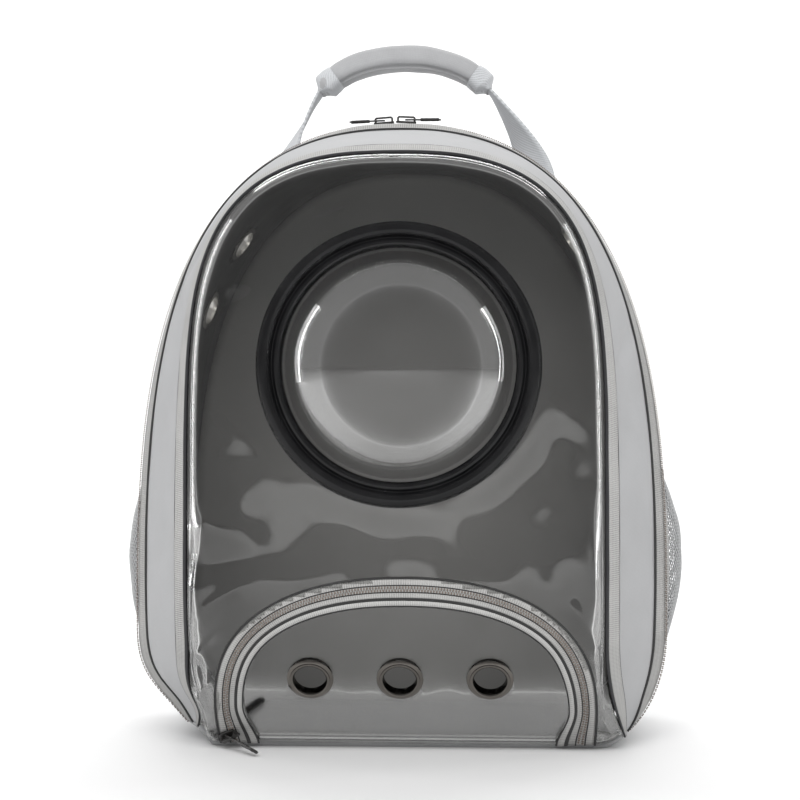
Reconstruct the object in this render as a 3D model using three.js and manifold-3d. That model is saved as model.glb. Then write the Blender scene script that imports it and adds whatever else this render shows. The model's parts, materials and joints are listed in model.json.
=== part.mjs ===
import * as THREE from 'three';
import { mergeVertices } from 'three/addons/utils/BufferGeometryUtils.js';
import Module from 'manifold-3d';

// A pet carrier backpack with a clear front sheet, a round bubble window and a zipped lower door.
// Millimetres, +Z up, the front faces -Y. Depth is counted from the plane of the main zip, front negative.

const clearance = 0.3;

// Main body, at the zip plane and at the back
const bodyHeight = 410;
const bodyHalfWidth = 175;
const shoulderStart = 75;
const footCornerWidth = 50;
const bodySidePower = 2.3;
const bodyCrownPower = 3;
const rearDepth = 150;
const rearEdgeRadius = 12;
const rearSideTaper = 9;
const rearTopTaper = 9;
const wallThickness = 2;
const wallSag = 2.5;
const liningThickness = 1;
const baseThickness = 3;

// Clear front sheet, with the belly below and the rolled edge round it
const sheetThickness = 1.2;
const windowSideBorder = 43.5;
const windowTopBorder = 27;
const windowSidePower = 2.6;
const windowCrownPower = 6.3;
const windowForward = 80;
const windowFootForward = 13;
const windowEdgeRoll = 10;
const windowCornerInset = 3.5;
const bellyStart = 115;
const pipingWidth = 5;
const pipingProud = 3;
const bindingWidth = 5.7;
const bindingProud = 1;

// Main zip
const tapeHalfWidth = 10;
const tapeThickness = 1.2;
const coilWidth = 5;
const coilHeight = 1.2;
const coilLift = 0.4;

// Bubble window
const bubbleAcross = 3;
const bubbleBelowTop = 160;
const ringOuterRadius = 89.5;
const ringWidth = 16;
const ringHeight = 9;
const ringRoll = 10;
const clampRingHeight = 3;
const domeRise = 46;
const domeThickness = 2;
const domeCollar = 5;
const bubbleSides = 32;

// Lower door
const doorAcross = 5.5;
const doorSideMargin = 4;
const doorTop = 116.4;
const doorFoot = 10;
const doorSidePower = 2.2;
const doorCrownPower = 3.1;
const doorTapeWidth = 13;
const doorCoilWidth = 3.4;
const doorBindingWidth = 4;
const doorTapeProud = 0.3;
const doorBindingProud = 0.6;
const doorSheetGap = 0.5;

// Eyelets
const eyeletOuterRadius = 14.8;
const eyeletHoleRadius = 10.4;
const eyeletHeight = 2.4;
const doorEyeletAcross = 3;
const doorEyeletHeight = 52;
const doorEyeletSpacing = 57;
const sideEyeletDepth = 105;
const sideEyeletLow = 299;
const sideEyeletHigh = 348;
const eyeletSides = 12;
const eyeletBarrel = 1.2;
const eyeletBackHeight = 1.2;
const doorEyeletSlack = 0.9;
const sideEyeletSlack = 1.7;

// Top handle
const handleHalfSpan = 87;
const handleDepth = 75;
const handleTop = 475;
const handleWebbingWidth = 25;
const handleSteps = 24;
const gripHalfLength = 59;
const gripWidth = 34;
const gripHeight = 17;
const gripSides = 10;
const gripSlotAcross = 1.6;
const gripSlotHeight = 1.2;

// Side pockets, measured up the wall and back from the main zip
const pocketFloor = 58;
const pocketMouth = 178;
const pocketFront = 20;
const pocketRear = 126;
const pocketBulge = 17;
const pocketSeat = 0.6;
const pocketBandHeight = 8;
const pocketRows = 6;
const pocketColumns = 8;
const netThickness = 1.5;

// Straps on the back
const webbingThickness = 1.8;
const yokeHalfWidth = 68;
const yokeHeight = 26;
const yokeThickness = 2;
const yokeAbove = 6;
const strapBelowTop = 58;
const strapPadLength = 202;
const strapThickness = 11;
const strapPadWidth = 64;
const strapBow = 7;
const strapSpreadShare = 0.72;
const strapWebbingWidth = 25;
const anchorInset = 57;
const anchorHeight = 40;
const anchorLean = 4;
const anchorFlat = 20;
const keeperShare = 0.22;
const keeperLength = 14;
const keeperWidthOver = 8;
const keeperHeightOver = 5;
const keeperPlay = 1.3;

// Sliders and their hinged pulls
const sliderMeeting = -3.5;
const mainSliderGap = 0.35;
const sliderLength = 13;
const sliderWidth = 9;
const sliderPlate = 1.2;
const bridgeHalfLength = 6;
const bridgeWidth = 3;
const bridgeThickness = 1;
const pullHeight = 1;
const pullPin = 1.3;
const pullPlay = 0.4;
const pullThickness = 1;
const pullWidth = 6.8;
const mainPullLength = 23;
const mainPullDip = -2;
const doorPullLength = 34;
const doorPullWidth = 6.2;
const doorPullAcross = 0.8;
const doorPullDip = -36.5;
const doorSliderHeight = 12;

const { Manifold, Mesh: SolidMesh } = await loadSolids();

async function loadSolids() {
  const library = await Module();
  library.setup();
  return library;
}

// Closed bodies from grids of points

function geometryFrom(points, faces) {
  const raw = new THREE.BufferGeometry();
  raw.setAttribute('position', new THREE.Float32BufferAttribute(points.flatMap(p => [p.x, p.y, p.z]), 3));
  raw.setIndex(faces);
  const merged = mergeVertices(raw, 1e-3);
  const index = merged.index.array;
  const kept = [];
  for (let i = 0; i < index.length; i += 3) {
    const [a, b, c] = index.slice(i, i + 3);
    if (a !== b && b !== c && c !== a) kept.push(a, b, c);
  }
  if (signedVolume(merged.attributes.position, kept) < 0) kept.reverse();
  merged.setIndex(kept);
  return merged;
}

function signedVolume(position, faces) {
  const corner = [new THREE.Vector3(), new THREE.Vector3(), new THREE.Vector3()];
  let sum = 0;
  for (let i = 0; i < faces.length; i += 3) {
    corner.forEach((point, k) => point.fromBufferAttribute(position, faces[i + k]));
    sum += corner[0].dot(corner[1].clone().cross(corner[2])) / 6;
  }
  return sum;
}

// A wall between an outer and an inner grid of points, rows by columns; a loop closes its columns on themselves
function wallBetween(outer, inner, loop = false) {
  const rows = outer.length;
  const columns = outer[0].length;
  const points = [...outer.flat(), ...inner.flat()];
  const faces = [];
  const out = (r, c) => r * columns + (c % columns);
  const inn = (r, c) => rows * columns + out(r, c);
  const quad = (a, b, c, d) => faces.push(a, b, c, a, c, d);
  const last = loop ? columns : columns - 1;
  for (let c = 0; c < last; c += 1) {
    for (let r = 0; r < rows - 1; r += 1) {
      quad(out(r, c), out(r, c + 1), out(r + 1, c + 1), out(r + 1, c));
      quad(inn(r, c), inn(r + 1, c), inn(r + 1, c + 1), inn(r, c + 1));
    }
    quad(out(0, c), inn(0, c), inn(0, c + 1), out(0, c + 1));
    quad(out(rows - 1, c), out(rows - 1, c + 1), inn(rows - 1, c + 1), inn(rows - 1, c));
  }
  for (let r = 0; r < rows - 1 && !loop; r += 1) {
    quad(out(r, 0), out(r + 1, 0), inn(r + 1, 0), inn(r, 0));
    quad(out(r, last), inn(r, last), inn(r + 1, last), out(r + 1, last));
  }
  return geometryFrom(points, faces);
}

// A body through a stack of closed loops, with a flat cap on each end
function stackOf(loops) {
  const count = loops[0].length;
  const points = loops.flat();
  const faces = [];
  for (let r = 0; r < loops.length - 1; r += 1) {
    for (let c = 0; c < count; c += 1) {
      const n = (c + 1) % count;
      const [a, b] = [r * count, (r + 1) * count];
      faces.push(a + c, a + n, b + n, a + c, b + n, b + c);
    }
  }
  [loops[0], loops.at(-1)].forEach((ring, end) => {
    const middle = ring.reduce((sum, p) => sum.add(p), new THREE.Vector3()).divideScalar(count);
    const first = end * (loops.length - 1) * count;
    const hub = points.push(middle) - 1;
    for (let c = 0; c < count; c += 1) {
      const n = (c + 1) % count;
      faces.push(...(end ? [first + c, first + n, hub] : [first + n, first + c, hub]));
    }
  });
  return geometryFrom(points, faces);
}

// Booleans

function solidOf(geometry) {
  const plain = geometry.clone();
  plain.deleteAttribute('normal');
  plain.deleteAttribute('uv');
  const merged = mergeVertices(plain, 1e-3);
  const vertProperties = new Float32Array(merged.attributes.position.array);
  const triVerts = new Uint32Array(merged.index.array);
  return new Manifold(new SolidMesh({ numProp: 3, vertProperties, triVerts }));
}

function geometryOf(solid) {
  const { vertProperties, triVerts } = solid.getMesh();
  const geometry = new THREE.BufferGeometry();
  geometry.setAttribute('position', new THREE.BufferAttribute(new Float32Array(vertProperties), 3));
  geometry.setIndex(new THREE.BufferAttribute(new Uint32Array(triVerts), 1));
  return geometry;
}

function cut(geometry, ...tools) {
  return geometryOf(tools.reduce((solid, tool) => solid.subtract(solidOf(tool)), solidOf(geometry)));
}

// Places a geometry made about the Z axis so that this axis runs along a direction through a point
function aimed(geometry, origin, direction) {
  const turn = new THREE.Quaternion().setFromUnitVectors(new THREE.Vector3(0, 0, 1), direction);
  return geometry.applyQuaternion(turn).translate(origin.x, origin.y, origin.z);
}

// A turned ring about Z from profile points of radius and height, closed on itself or on the axis
function turned(profile, sides) {
  const first = profile[0];
  const closed = first[0] === 0 ? profile : [...profile, first];
  const lathe = new THREE.LatheGeometry(closed.map(([r, h]) => new THREE.Vector2(r, h)), sides);
  lathe.deleteAttribute('normal');
  lathe.deleteAttribute('uv');
  lathe.rotateX(Math.PI / 2);
  const points = [];
  const position = lathe.attributes.position;
  for (let i = 0; i < position.count; i += 1) points.push(new THREE.Vector3().fromBufferAttribute(position, i));
  return geometryFrom(points, Array.from(lathe.index.array));
}

const bag = new THREE.Group();

function add(name, geometry, look, parent = bag) {
  const mesh = new THREE.Mesh(geometry, look);
  mesh.name = name;
  parent.add(mesh);
  return mesh;
}

// Outlines seen from the front. A half outline runs from the middle of the foot to the crown.

const cornerSteps = 6;
const archSteps = 13;
const footSteps = 2;
const seamIndex = footSteps + 2;
const windowHalfWidth = bodyHalfWidth - windowSideBorder;
const windowTop = bodyHeight - windowTopBorder;
const bellyDrop = windowForward - windowFootForward;
const bubbleHeight = bodyHeight - bubbleBelowTop;
const doorHalfWidth = windowHalfWidth - Math.abs(doorAcross) - doorSideMargin;
const anchorAcross = bodyHalfWidth - anchorInset;
const strapTop = bodyHeight - strapBelowTop;
const strapBottom = strapTop - strapPadLength;
const bellyRadius = (bellyStart ** 2 + bellyDrop ** 2) / (2 * bellyDrop);

function archCurve(halfWidth, top, sidePower, crownPower) {
  const points = [];
  for (let degrees = 0; degrees <= 90; degrees += 1) {
    const angle = THREE.MathUtils.degToRad(degrees);
    const across = halfWidth * Math.max(Math.cos(angle), 0) ** (2 / sidePower);
    const rise = (top - shoulderStart) * Math.sin(angle) ** (2 / crownPower);
    points.push(new THREE.Vector2(across, shoulderStart + rise));
  }
  return spaced(points, archSteps);
}

function spaced(points, steps) {
  const curve = new THREE.SplineCurve(points);
  curve.arcLengthDivisions = 600;
  return curve.getSpacedPoints(steps);
}

function bodyHalf(halfWidth, top) {
  const flat = halfWidth - footCornerWidth;
  const foot = [new THREE.Vector2(0, 0), new THREE.Vector2(flat / 2, 0)];
  const corner = [];
  for (let step = 0; step < cornerSteps; step += 1) {
    const angle = (step / cornerSteps) * (Math.PI / 2);
    const across = flat + footCornerWidth * Math.sin(angle);
    corner.push(new THREE.Vector2(across, shoulderStart * (1 - Math.cos(angle))));
  }
  return [...foot, ...corner, ...archCurve(halfWidth, top, bodySidePower, bodyCrownPower)];
}

// The clear sheet shares the body's foot, and its lower corners flare out to the body's own corners
function windowHalf() {
  const half = bodyHalf(bodyHalfWidth, bodyHeight);
  const cornerAcross = half[seamIndex].x - windowCornerInset;
  const cornerHeight = half[seamIndex].y;
  const cornerEnd = footSteps + cornerSteps;
  const corner = half.slice(seamIndex, cornerEnd).map(({ y }) => {
    const share = (shoulderStart - y) / (shoulderStart - cornerHeight);
    return new THREE.Vector2(windowHalfWidth + (cornerAcross - windowHalfWidth) * share ** 2, y);
  });
  const arch = archCurve(windowHalfWidth, windowTop, windowSidePower, windowCrownPower);
  return [...half.slice(0, seamIndex), ...corner, ...arch];
}

function closedLoop(half) {
  const mirrored = half.slice(1, -1).reverse().map(p => new THREE.Vector2(-p.x, p.y));
  return [...half, ...mirrored];
}

const zipHalf = bodyHalf(bodyHalfWidth, bodyHeight);
const zipLoop = closedLoop(zipHalf);
const rearLoop = closedLoop(bodyHalf(bodyHalfWidth - rearSideTaper, bodyHeight - rearTopTaper));
const windowLoop = closedLoop(windowHalf());
const loopCount = zipLoop.length;
const inwardLoop = zipLoop.map((p, i) => {
  const before = zipLoop[(i + loopCount - 1) % loopCount];
  const after = zipLoop[(i + 1) % loopCount];
  const along = after.clone().sub(before).normalize();
  return new THREE.Vector2(-along.y, along.x);
});

function mix(loop, index) {
  const low = Math.floor(index);
  const next = loop[(low + 1) % loopCount];
  return loop[low % loopCount].clone().lerp(next, index - low);
}

// Surface of the clear sheet: straight above, a belly curving back to the foot, and a rolled edge

function sheetDepth(x, z) {
  const below = THREE.MathUtils.clamp(bellyStart - z, 0, bellyStart);
  const belly = bellyRadius - Math.sqrt(bellyRadius ** 2 - below ** 2);
  const rise = Math.max(z - shoulderStart, 0) / (windowTop - shoulderStart);
  const edge = Math.min((Math.abs(x) / windowHalfWidth) ** windowSidePower + rise ** windowCrownPower, 1);
  const fade = THREE.MathUtils.clamp(z / shoulderStart, 0, 1);
  return belly - windowForward + windowEdgeRoll * fade * edge ** 5;
}

function sheetNormal(x, z) {
  const step = 0.5;
  const slopeX = (sheetDepth(x + step, z) - sheetDepth(x - step, z)) / (2 * step);
  const slopeZ = (sheetDepth(x, z + step) - sheetDepth(x, z - step)) / (2 * step);
  return new THREE.Vector3(slopeX, -1, slopeZ).normalize();
}

function onSheet(x, z, lift = 0) {
  return new THREE.Vector3(x, sheetDepth(x, z), z).addScaledVector(sheetNormal(x, z), lift);
}

// Surface of the body, by place round the outline and by distance from the zip, negative towards the window

function seamEnds(index) {
  const zip = mix(zipLoop, index);
  const front = mix(windowLoop, index);
  const rear = mix(rearLoop, index);
  return {
    zip: new THREE.Vector3(zip.x, 0, zip.y),
    front: new THREE.Vector3(front.x, sheetDepth(front.x, front.y), front.y),
    rear: new THREE.Vector3(rear.x, rearDepth - rearEdgeRadius, rear.y),
  };
}

function skinPoint(index, along, depth = 0) {
  const { zip, front, rear } = seamEnds(index);
  const target = along < 0 ? front : rear;
  const share = Math.abs(along) / zip.distanceTo(target);
  const inward = mix(inwardLoop, index);
  const fromFoot = Math.min(index, loopCount - index) - seamIndex;
  const fullness = THREE.MathUtils.clamp(fromFoot / cornerSteps, 0, 1);
  const move = depth - wallSag * fullness * Math.sin(Math.PI * share);
  return zip.lerp(target, share).add(new THREE.Vector3(inward.x * move, 0, inward.y * move));
}

function skinNormal(index, along) {
  const round = skinPoint(index + 0.2, along).sub(skinPoint(index - 0.2, along));
  const back = skinPoint(index, along + 1).sub(skinPoint(index, along - 1));
  return round.cross(back).normalize().negate();
}

const fromZip = distance => (index, depth) => skinPoint(index, distance, depth);

const fromWindow = distance => (index, depth) => {
  const { zip, front } = seamEnds(index);
  return skinPoint(index, Math.min(distance - zip.distanceTo(front), 0), depth);
};

const roundRear = degrees => (index, depth) => {
  const angle = THREE.MathUtils.degToRad(degrees);
  const inward = mix(inwardLoop, index);
  const reach = rearEdgeRadius - depth;
  const inset = rearEdgeRadius - reach * Math.cos(angle);
  const rear = mix(rearLoop, index);
  const place = new THREE.Vector3(rear.x, rearDepth - rearEdgeRadius + reach * Math.sin(angle), rear.y);
  return place.add(new THREE.Vector3(inward.x * inset, 0, inward.y * inset));
};

function stopsBetween(from, to) {
  const stops = [from];
  for (let i = Math.floor(from) + 1; i < to; i += 1) stops.push(i);
  stops.push(to);
  return stops;
}

function bodyBand(rails, from, to, outer, inner) {
  const stops = stopsBetween(from, to);
  const grid = depth => rails.map(rail => stops.map(index => rail(index, depth)));
  return wallBetween(grid(outer), grid(inner));
}

const seamGap = clearance / zipHalf[seamIndex].distanceTo(zipHalf[seamIndex + 1]);
const archFrom = seamIndex + 1.1 * seamGap;
const archTo = loopCount - archFrom;
const rounding = [0, 45, 90].map(roundRear);

// Finishes

function finish(color, roughness, metalness = 0, opacity = 1) {
  return new THREE.MeshStandardMaterial({ color, roughness, metalness, opacity, transparent: opacity < 1 });
}

const looks = {
  shell: finish(0xc1c2c5, 0.8),
  binding: finish(0xb9b8b4, 0.85),
  webbing: finish(0xc6cad0, 0.75),
  padding: finish(0xb4b5b9, 0.9),
  net: finish(0xc9cacc, 0.8),
  lining: finish(0x6e6f71, 0.7),
  backing: finish(0x45443f, 0.75),
  clear: finish(0xe8ecee, 0.08, 0, 0.25),
  dome: finish(0xf2f5f7, 0.04, 0, 0.25),
  black: finish(0x101113, 0.25),
  coil: finish(0x8b8580, 0.5),
  metal: finish(0x46423c, 0.35, 1),
};

// Walls of the body

function gussetRail(share) {
  return (index, depth) => {
    const { zip, front } = seamEnds(index);
    const start = pipingWidth + bindingWidth + 2 * clearance - zip.distanceTo(front);
    return skinPoint(index, THREE.MathUtils.lerp(start, -tapeHalfWidth - clearance, share), depth);
  };
}

function wallRail(share) {
  return (index, depth) => {
    const { zip, rear } = seamEnds(index);
    const start = tapeHalfWidth + clearance;
    return skinPoint(index, THREE.MathUtils.lerp(start, zip.distanceTo(rear), share), depth);
  };
}

// The foot's front edge follows the belly of the clear sheet
function sheetEdge(index, depth) {
  const inward = mix(inwardLoop, index);
  const place = mix(windowLoop, index).addScaledVector(inward, depth);
  return onSheet(place.x, place.y);
}

function ringAt(loop, inset, depth) {
  return loop.map((p, i) => {
    const inward = inwardLoop[i];
    return new THREE.Vector3(p.x + inward.x * inset, depth, p.y + inward.y * inset);
  });
}

const liningDepth = wallThickness + clearance;
const rearPanelGap = 3;
const rearPanelProud = 12;
const rearPanelSeam = 4;
const rearPanelSlope = 14;
const backingInset = rearEdgeRadius - 0.5;
const backingThickness = 1.5;
const matThickness = 4;
const matMargin = 8;

function indexAtHeight(height, side) {
  let index = seamIndex;
  while (mix(zipLoop, index).y < height) index += 0.02;
  return side === 'right' ? index : loopCount - index;
}

const sideEyeletPlaces = ['left', 'right'].flatMap(side => (
  [['lower', sideEyeletLow], ['upper', sideEyeletHigh]].map(([level, height]) => {
    const index = indexAtHeight(height, side);
    const normal = skinNormal(index, sideEyeletDepth);
    const origin = skinPoint(index, sideEyeletDepth, (wallThickness + clearance + liningThickness) / 2);
    return { name: `side_eyelet_${side}_${level}`, origin, normal };
  })
));

function addBody() {
  const gussetRails = [0, 0.5, 1].map(gussetRail);
  const wallRails = [0, 0.5, 1].map(wallRail);
  const holes = sideEyeletPlaces.map(({ origin, normal }) => eyeletHole(origin, normal));
  const wall = bodyBand([...wallRails, ...rounding.slice(1)], archFrom, archTo, 0, wallThickness);
  add('rear_wall', cut(wall, ...holes), looks.shell);
  add('front_gusset', bodyBand(gussetRails, archFrom, archTo, 0, wallThickness), looks.shell);

  const innerRails = [...gussetRails, ...wallRails];
  const liningFrom = seamIndex + 1;
  const liningTo = loopCount - liningFrom;
  const lining = bodyBand(innerRails, liningFrom, liningTo, liningDepth, liningDepth + liningThickness);
  add('wall_lining', cut(lining, ...holes), looks.lining);

  const baseRails = [sheetEdge, fromZip(0), wallRail(0.5), ...rounding];
  const footFrom = loopCount - seamIndex;
  add('base_panel', bodyBand(baseRails, footFrom, loopCount + seamIndex, 0, baseThickness), looks.shell);

  const matHalf = bodyHalfWidth - footCornerWidth - matMargin;
  const matLength = rearDepth - 2 * rearEdgeRadius;
  const mat = new THREE.BoxGeometry(2 * matHalf, matLength, matThickness);
  mat.translate(0, matLength / 2, baseThickness + clearance + matThickness / 2);
  add('base_mat', mat, looks.backing);

  const panelFront = rearDepth - rearPanelGap;
  const panelBack = rearDepth + rearPanelProud;
  const seat = rearEdgeRadius + clearance;
  const panel = [
    [seat, panelFront], [seat, rearDepth + rearPanelSeam], [seat + 4, panelBack - 2], [seat + rearPanelSlope, panelBack],
  ];
  add('back_panel', stackOf(panel.map(([inset, depth]) => ringAt(rearLoop, inset, depth))), looks.padding);

  const backing = [panelFront - clearance - backingThickness, panelFront - clearance];
  add('back_lining', stackOf(backing.map(depth => ringAt(rearLoop, backingInset, depth))), looks.backing);
}

// Trims of the front seam and the main zip

function addSeams() {
  const piping = bodyBand([fromWindow(0), fromWindow(pipingWidth)], archFrom, archTo, -pipingProud, 0);
  add('window_piping', piping, looks.black);
  const bindingFrom = pipingWidth + clearance;
  const bindingRails = [fromWindow(bindingFrom), fromWindow(bindingFrom + bindingWidth)];
  add('window_binding', bodyBand(bindingRails, archFrom, archTo, -bindingProud, wallThickness), looks.binding);

  const tapeRails = [-tapeHalfWidth, 0, tapeHalfWidth].map(fromZip);
  add('main_zip_tape', bodyBand(tapeRails, archFrom, archTo, 0, tapeThickness), looks.binding);
  const coilRails = [-coilWidth / 2, 0, coilWidth / 2].map(fromZip);
  add('main_zip_coil', bodyBand(coilRails, archFrom, archTo, -coilLift - coilHeight, -coilLift), looks.coil);
}

// Clear front sheet, with a round hole for the bubble and a cut-away for the door

const doorSteps = 24;
const footGap = baseThickness + clearance + sheetThickness / 2 + 0.3;
const doorColumns = 6;
const sheetHoleRadius = ringOuterRadius - ringWidth / 2;

function doorEdge() {
  const points = [];
  for (let degrees = 180; degrees >= 0; degrees -= 2) {
    const angle = THREE.MathUtils.degToRad(degrees);
    const across = Math.sign(Math.cos(angle)) * Math.abs(Math.cos(angle)) ** (2 / doorSidePower);
    const rise = (doorTop - doorFoot) * Math.max(Math.sin(angle), 0) ** (2 / doorCrownPower);
    points.push(new THREE.Vector2(doorAcross + doorHalfWidth * across, doorFoot + rise));
  }
  const left = new THREE.Vector2(doorAcross - doorHalfWidth, footGap);
  const right = new THREE.Vector2(doorAcross + doorHalfWidth, footGap);
  return spaced([left, ...points, right], doorSteps);
}

const doorPath = doorEdge();

// A line along the door's edge, moved inwards across the sheet by an inset and off it by a lift
function doorRail(inset, lift) {
  return doorPath.map(({ x, y }, i) => {
    const before = doorPath[Math.max(i - 1, 0)];
    const after = doorPath[Math.min(i + 1, doorSteps)];
    const along = onSheet(after.x, after.y).sub(onSheet(before.x, before.y)).normalize();
    const atFoot = i === 0 || i === doorSteps;
    const inward = atFoot
      ? new THREE.Vector3(i === 0 ? 1 : -1, 0, 0)
      : along.cross(sheetNormal(x, y)).normalize();
    const place = onSheet(x, y).addScaledVector(inward, inset);
    return onSheet(place.x, atFoot ? y : place.z, lift);
  });
}

function doorBand(near, far, low, high) {
  return wallBetween([doorRail(near, high), doorRail(far, high)], [doorRail(near, low), doorRail(far, low)]);
}

function doorPatch(inset, low, high) {
  const edge = doorRail(inset, 0);
  const middle = doorSteps / 2;
  const grid = lift => Array.from({ length: middle + 1 }, (_, row) => {
    const left = edge[row];
    const right = edge[doorSteps - row];
    return Array.from({ length: doorColumns + 1 }, (_, column) => {
      const place = left.clone().lerp(right, column / doorColumns);
      return onSheet(place.x, place.z, lift);
    });
  });
  return wallBetween(grid(high), grid(low));
}

function sheetGrid(lift) {
  const columns = 8;
  const half = windowLoop.slice(footSteps, loopCount / 2 + 1);
  return half.map((p, row) => {
    const index = row + footSteps;
    const gap = index <= seamIndex ? footGap : clearance;
    const inward = inwardLoop[index];
    const across = Math.max(p.x + Math.min(inward.x, 0) * gap, 0);
    const height = index <= seamIndex ? p.y + inward.y * gap : p.y + Math.min(inward.y, 0) * gap;
    return Array.from({ length: columns + 1 }, (_, column) => (
      onSheet(across * Math.sin(Math.PI * (column / columns - 0.5)), height, lift)
    ));
  });
}

function eyeletBody(thickness, slack = 0) {
  const half = thickness / 2 + clearance + slack;
  const hole = eyeletHoleRadius;
  const rim = eyeletOuterRadius;
  const barrel = hole + eyeletBarrel;
  const top = half + eyeletHeight;
  const back = -half - eyeletBackHeight;
  const profile = [
    [hole, back], [rim - 1, back], [rim - 1, -half], [barrel, -half], [barrel, half],
    [rim, half], [rim - 1, top - 0.6], [hole + 1, top],
  ];
  return turned(profile, eyeletSides);
}

function eyeletHole(origin, normal) {
  const tool = new THREE.CylinderGeometry(eyeletHoleRadius + 2, eyeletHoleRadius + 2, 12, eyeletSides);
  return aimed(tool.rotateX(Math.PI / 2), origin, normal);
}

function addFront() {
  const half = sheetThickness / 2;
  const bubbleHole = new THREE.CylinderGeometry(sheetHoleRadius, sheetHoleRadius, 60, bubbleSides);
  bubbleHole.translate(bubbleAcross, -windowForward, bubbleHeight);
  const outline = doorRail(-doorSheetGap, 0).map(({ x, z }) => new THREE.Vector2(x, z));
  const ends = [outline.at(-1), outline[0]].map(p => new THREE.Vector2(p.x, -baseThickness));
  const doorway = new THREE.ExtrudeGeometry(new THREE.Shape([...outline, ...ends]), {
    depth: 2 * windowForward, bevelEnabled: false,
  });
  doorway.rotateX(Math.PI / 2);
  const sheet = wallBetween(sheetGrid(half), sheetGrid(-half));
  add('front_window', cut(sheet, bubbleHole, doorway), looks.clear);

  const bindingFrom = doorTapeWidth + clearance;
  const bindingTo = bindingFrom + doorBindingWidth;
  add('door_zip_tape', doorBand(0, doorTapeWidth, -half, half + doorTapeProud), looks.binding);
  const coilFrom = (doorTapeWidth - doorCoilWidth) / 2;
  const coilLow = half + doorTapeProud + clearance;
  add('door_zip_coil', doorBand(coilFrom, coilFrom + doorCoilWidth, coilLow, coilLow + coilHeight), looks.coil);
  add('door_binding', doorBand(bindingFrom, bindingTo, -half - doorTapeProud, half + doorBindingProud), looks.binding);

  const eyelets = [-1, 0, 1].map(step => {
    const across = doorEyeletAcross + step * doorEyeletSpacing;
    return { origin: onSheet(across, doorEyeletHeight), normal: sheetNormal(across, doorEyeletHeight) };
  });
  const pane = doorPatch(bindingTo + clearance, -half, half);
  add('door_window', cut(pane, ...eyelets.map(({ origin, normal }) => eyeletHole(origin, normal))), looks.clear);
  eyelets.forEach(({ origin, normal }, i) => {
    add(`door_eyelet_${i + 1}`, aimed(eyeletBody(sheetThickness, doorEyeletSlack), origin, normal), looks.metal);
  });
  sideEyeletPlaces.forEach(({ name, origin, normal }) => {
    const body = eyeletBody(wallThickness + clearance + liningThickness, sideEyeletSlack);
    add(name, aimed(body, origin, normal), looks.metal);
  });
}

// Bubble window: a clear dome in a black ring, with a second ring behind the sheet

function addBubble() {
  const forward = new THREE.Vector3(0, -1, 0);
  const origin = new THREE.Vector3(bubbleAcross, -windowForward, bubbleHeight);
  const inner = ringOuterRadius - ringWidth;
  const seat = sheetThickness / 2 + clearance;
  const top = seat + ringHeight;
  const outer = ringOuterRadius;
  const ring = turned([
    [inner, seat], [outer, seat], [outer, seat + 4], [outer - 2, top - 1.5], [outer - 5, top],
    [outer - ringRoll + 1.5, top - 1.5], [outer - ringRoll, top - 4], [inner + 4.5, top - 3.5], [inner + 2, top - 2.5],
    [inner, top - 4],
  ], bubbleSides);
  add('bubble_ring', aimed(ring, origin, forward), looks.black);
  const clamp = turned([
    [inner, -seat], [outer - 1.5, -seat], [outer - 2.5, -seat - clampRingHeight],
    [inner, -seat - clampRingHeight],
  ].reverse(), bubbleSides);
  add('bubble_clamp_ring', aimed(clamp, origin, forward), looks.black);

  const radius = inner - clearance;
  const base = seat + 3;
  const sphere = (radius ** 2 + domeRise ** 2) / (2 * domeRise);
  const middle = base + domeRise - sphere;
  const steps = 5;
  const cap = (reach, limit) => {
    const widest = Math.PI / 2 - Math.atan2(base - middle, Math.sqrt(reach ** 2 - (base - middle) ** 2));
    return Array.from({ length: steps + 1 }, (_, i) => {
      const angle = (widest * i) / steps;
      return [Math.min(reach * Math.sin(angle), limit), middle + reach * Math.cos(angle)];
    });
  };
  const inside = radius - domeThickness;
  const profile = [
    ...cap(sphere, radius), [radius, -domeCollar], [inside, -domeCollar],
    ...cap(sphere - domeThickness, inside).reverse(),
  ];
  add('bubble_dome', aimed(turned(profile, bubbleSides), origin, forward), looks.dome);
}

// Top handle: webbing sewn to the wall at both feet, through a padded grip

// Share of the way along, place across and height, and the turn of the webbing's width away from the depth
const handleRoute = [
  { across: -1.03, height: -0.14, turn: 78 },
  { across: -0.99, height: 0.02, turn: 66 },
  { across: -0.94, height: 0.16, turn: 36 },
  { across: -0.84, height: 0.4, turn: 12 },
  { across: -0.68, height: 0.71, turn: 0 },
  { across: -0.56, height: 0.84, turn: 0 },
  { across: -0.4, height: 0.93, turn: 0 },
  { across: -0.2, height: 0.985, turn: 0 },
  { across: 0, height: 1, turn: 0 },
  { across: 0.2, height: 0.985, turn: 0 },
  { across: 0.4, height: 0.93, turn: 0 },
  { across: 0.56, height: 0.84, turn: 0 },
  { across: 0.68, height: 0.71, turn: 0 },
  { across: 0.88, height: 0.4, turn: -24 },
  { across: 1, height: 0.16, turn: -52 },
  { across: 1.05, height: 0.02, turn: -68 },
  { across: 1.08, height: -0.14, turn: -78 },
];

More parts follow.
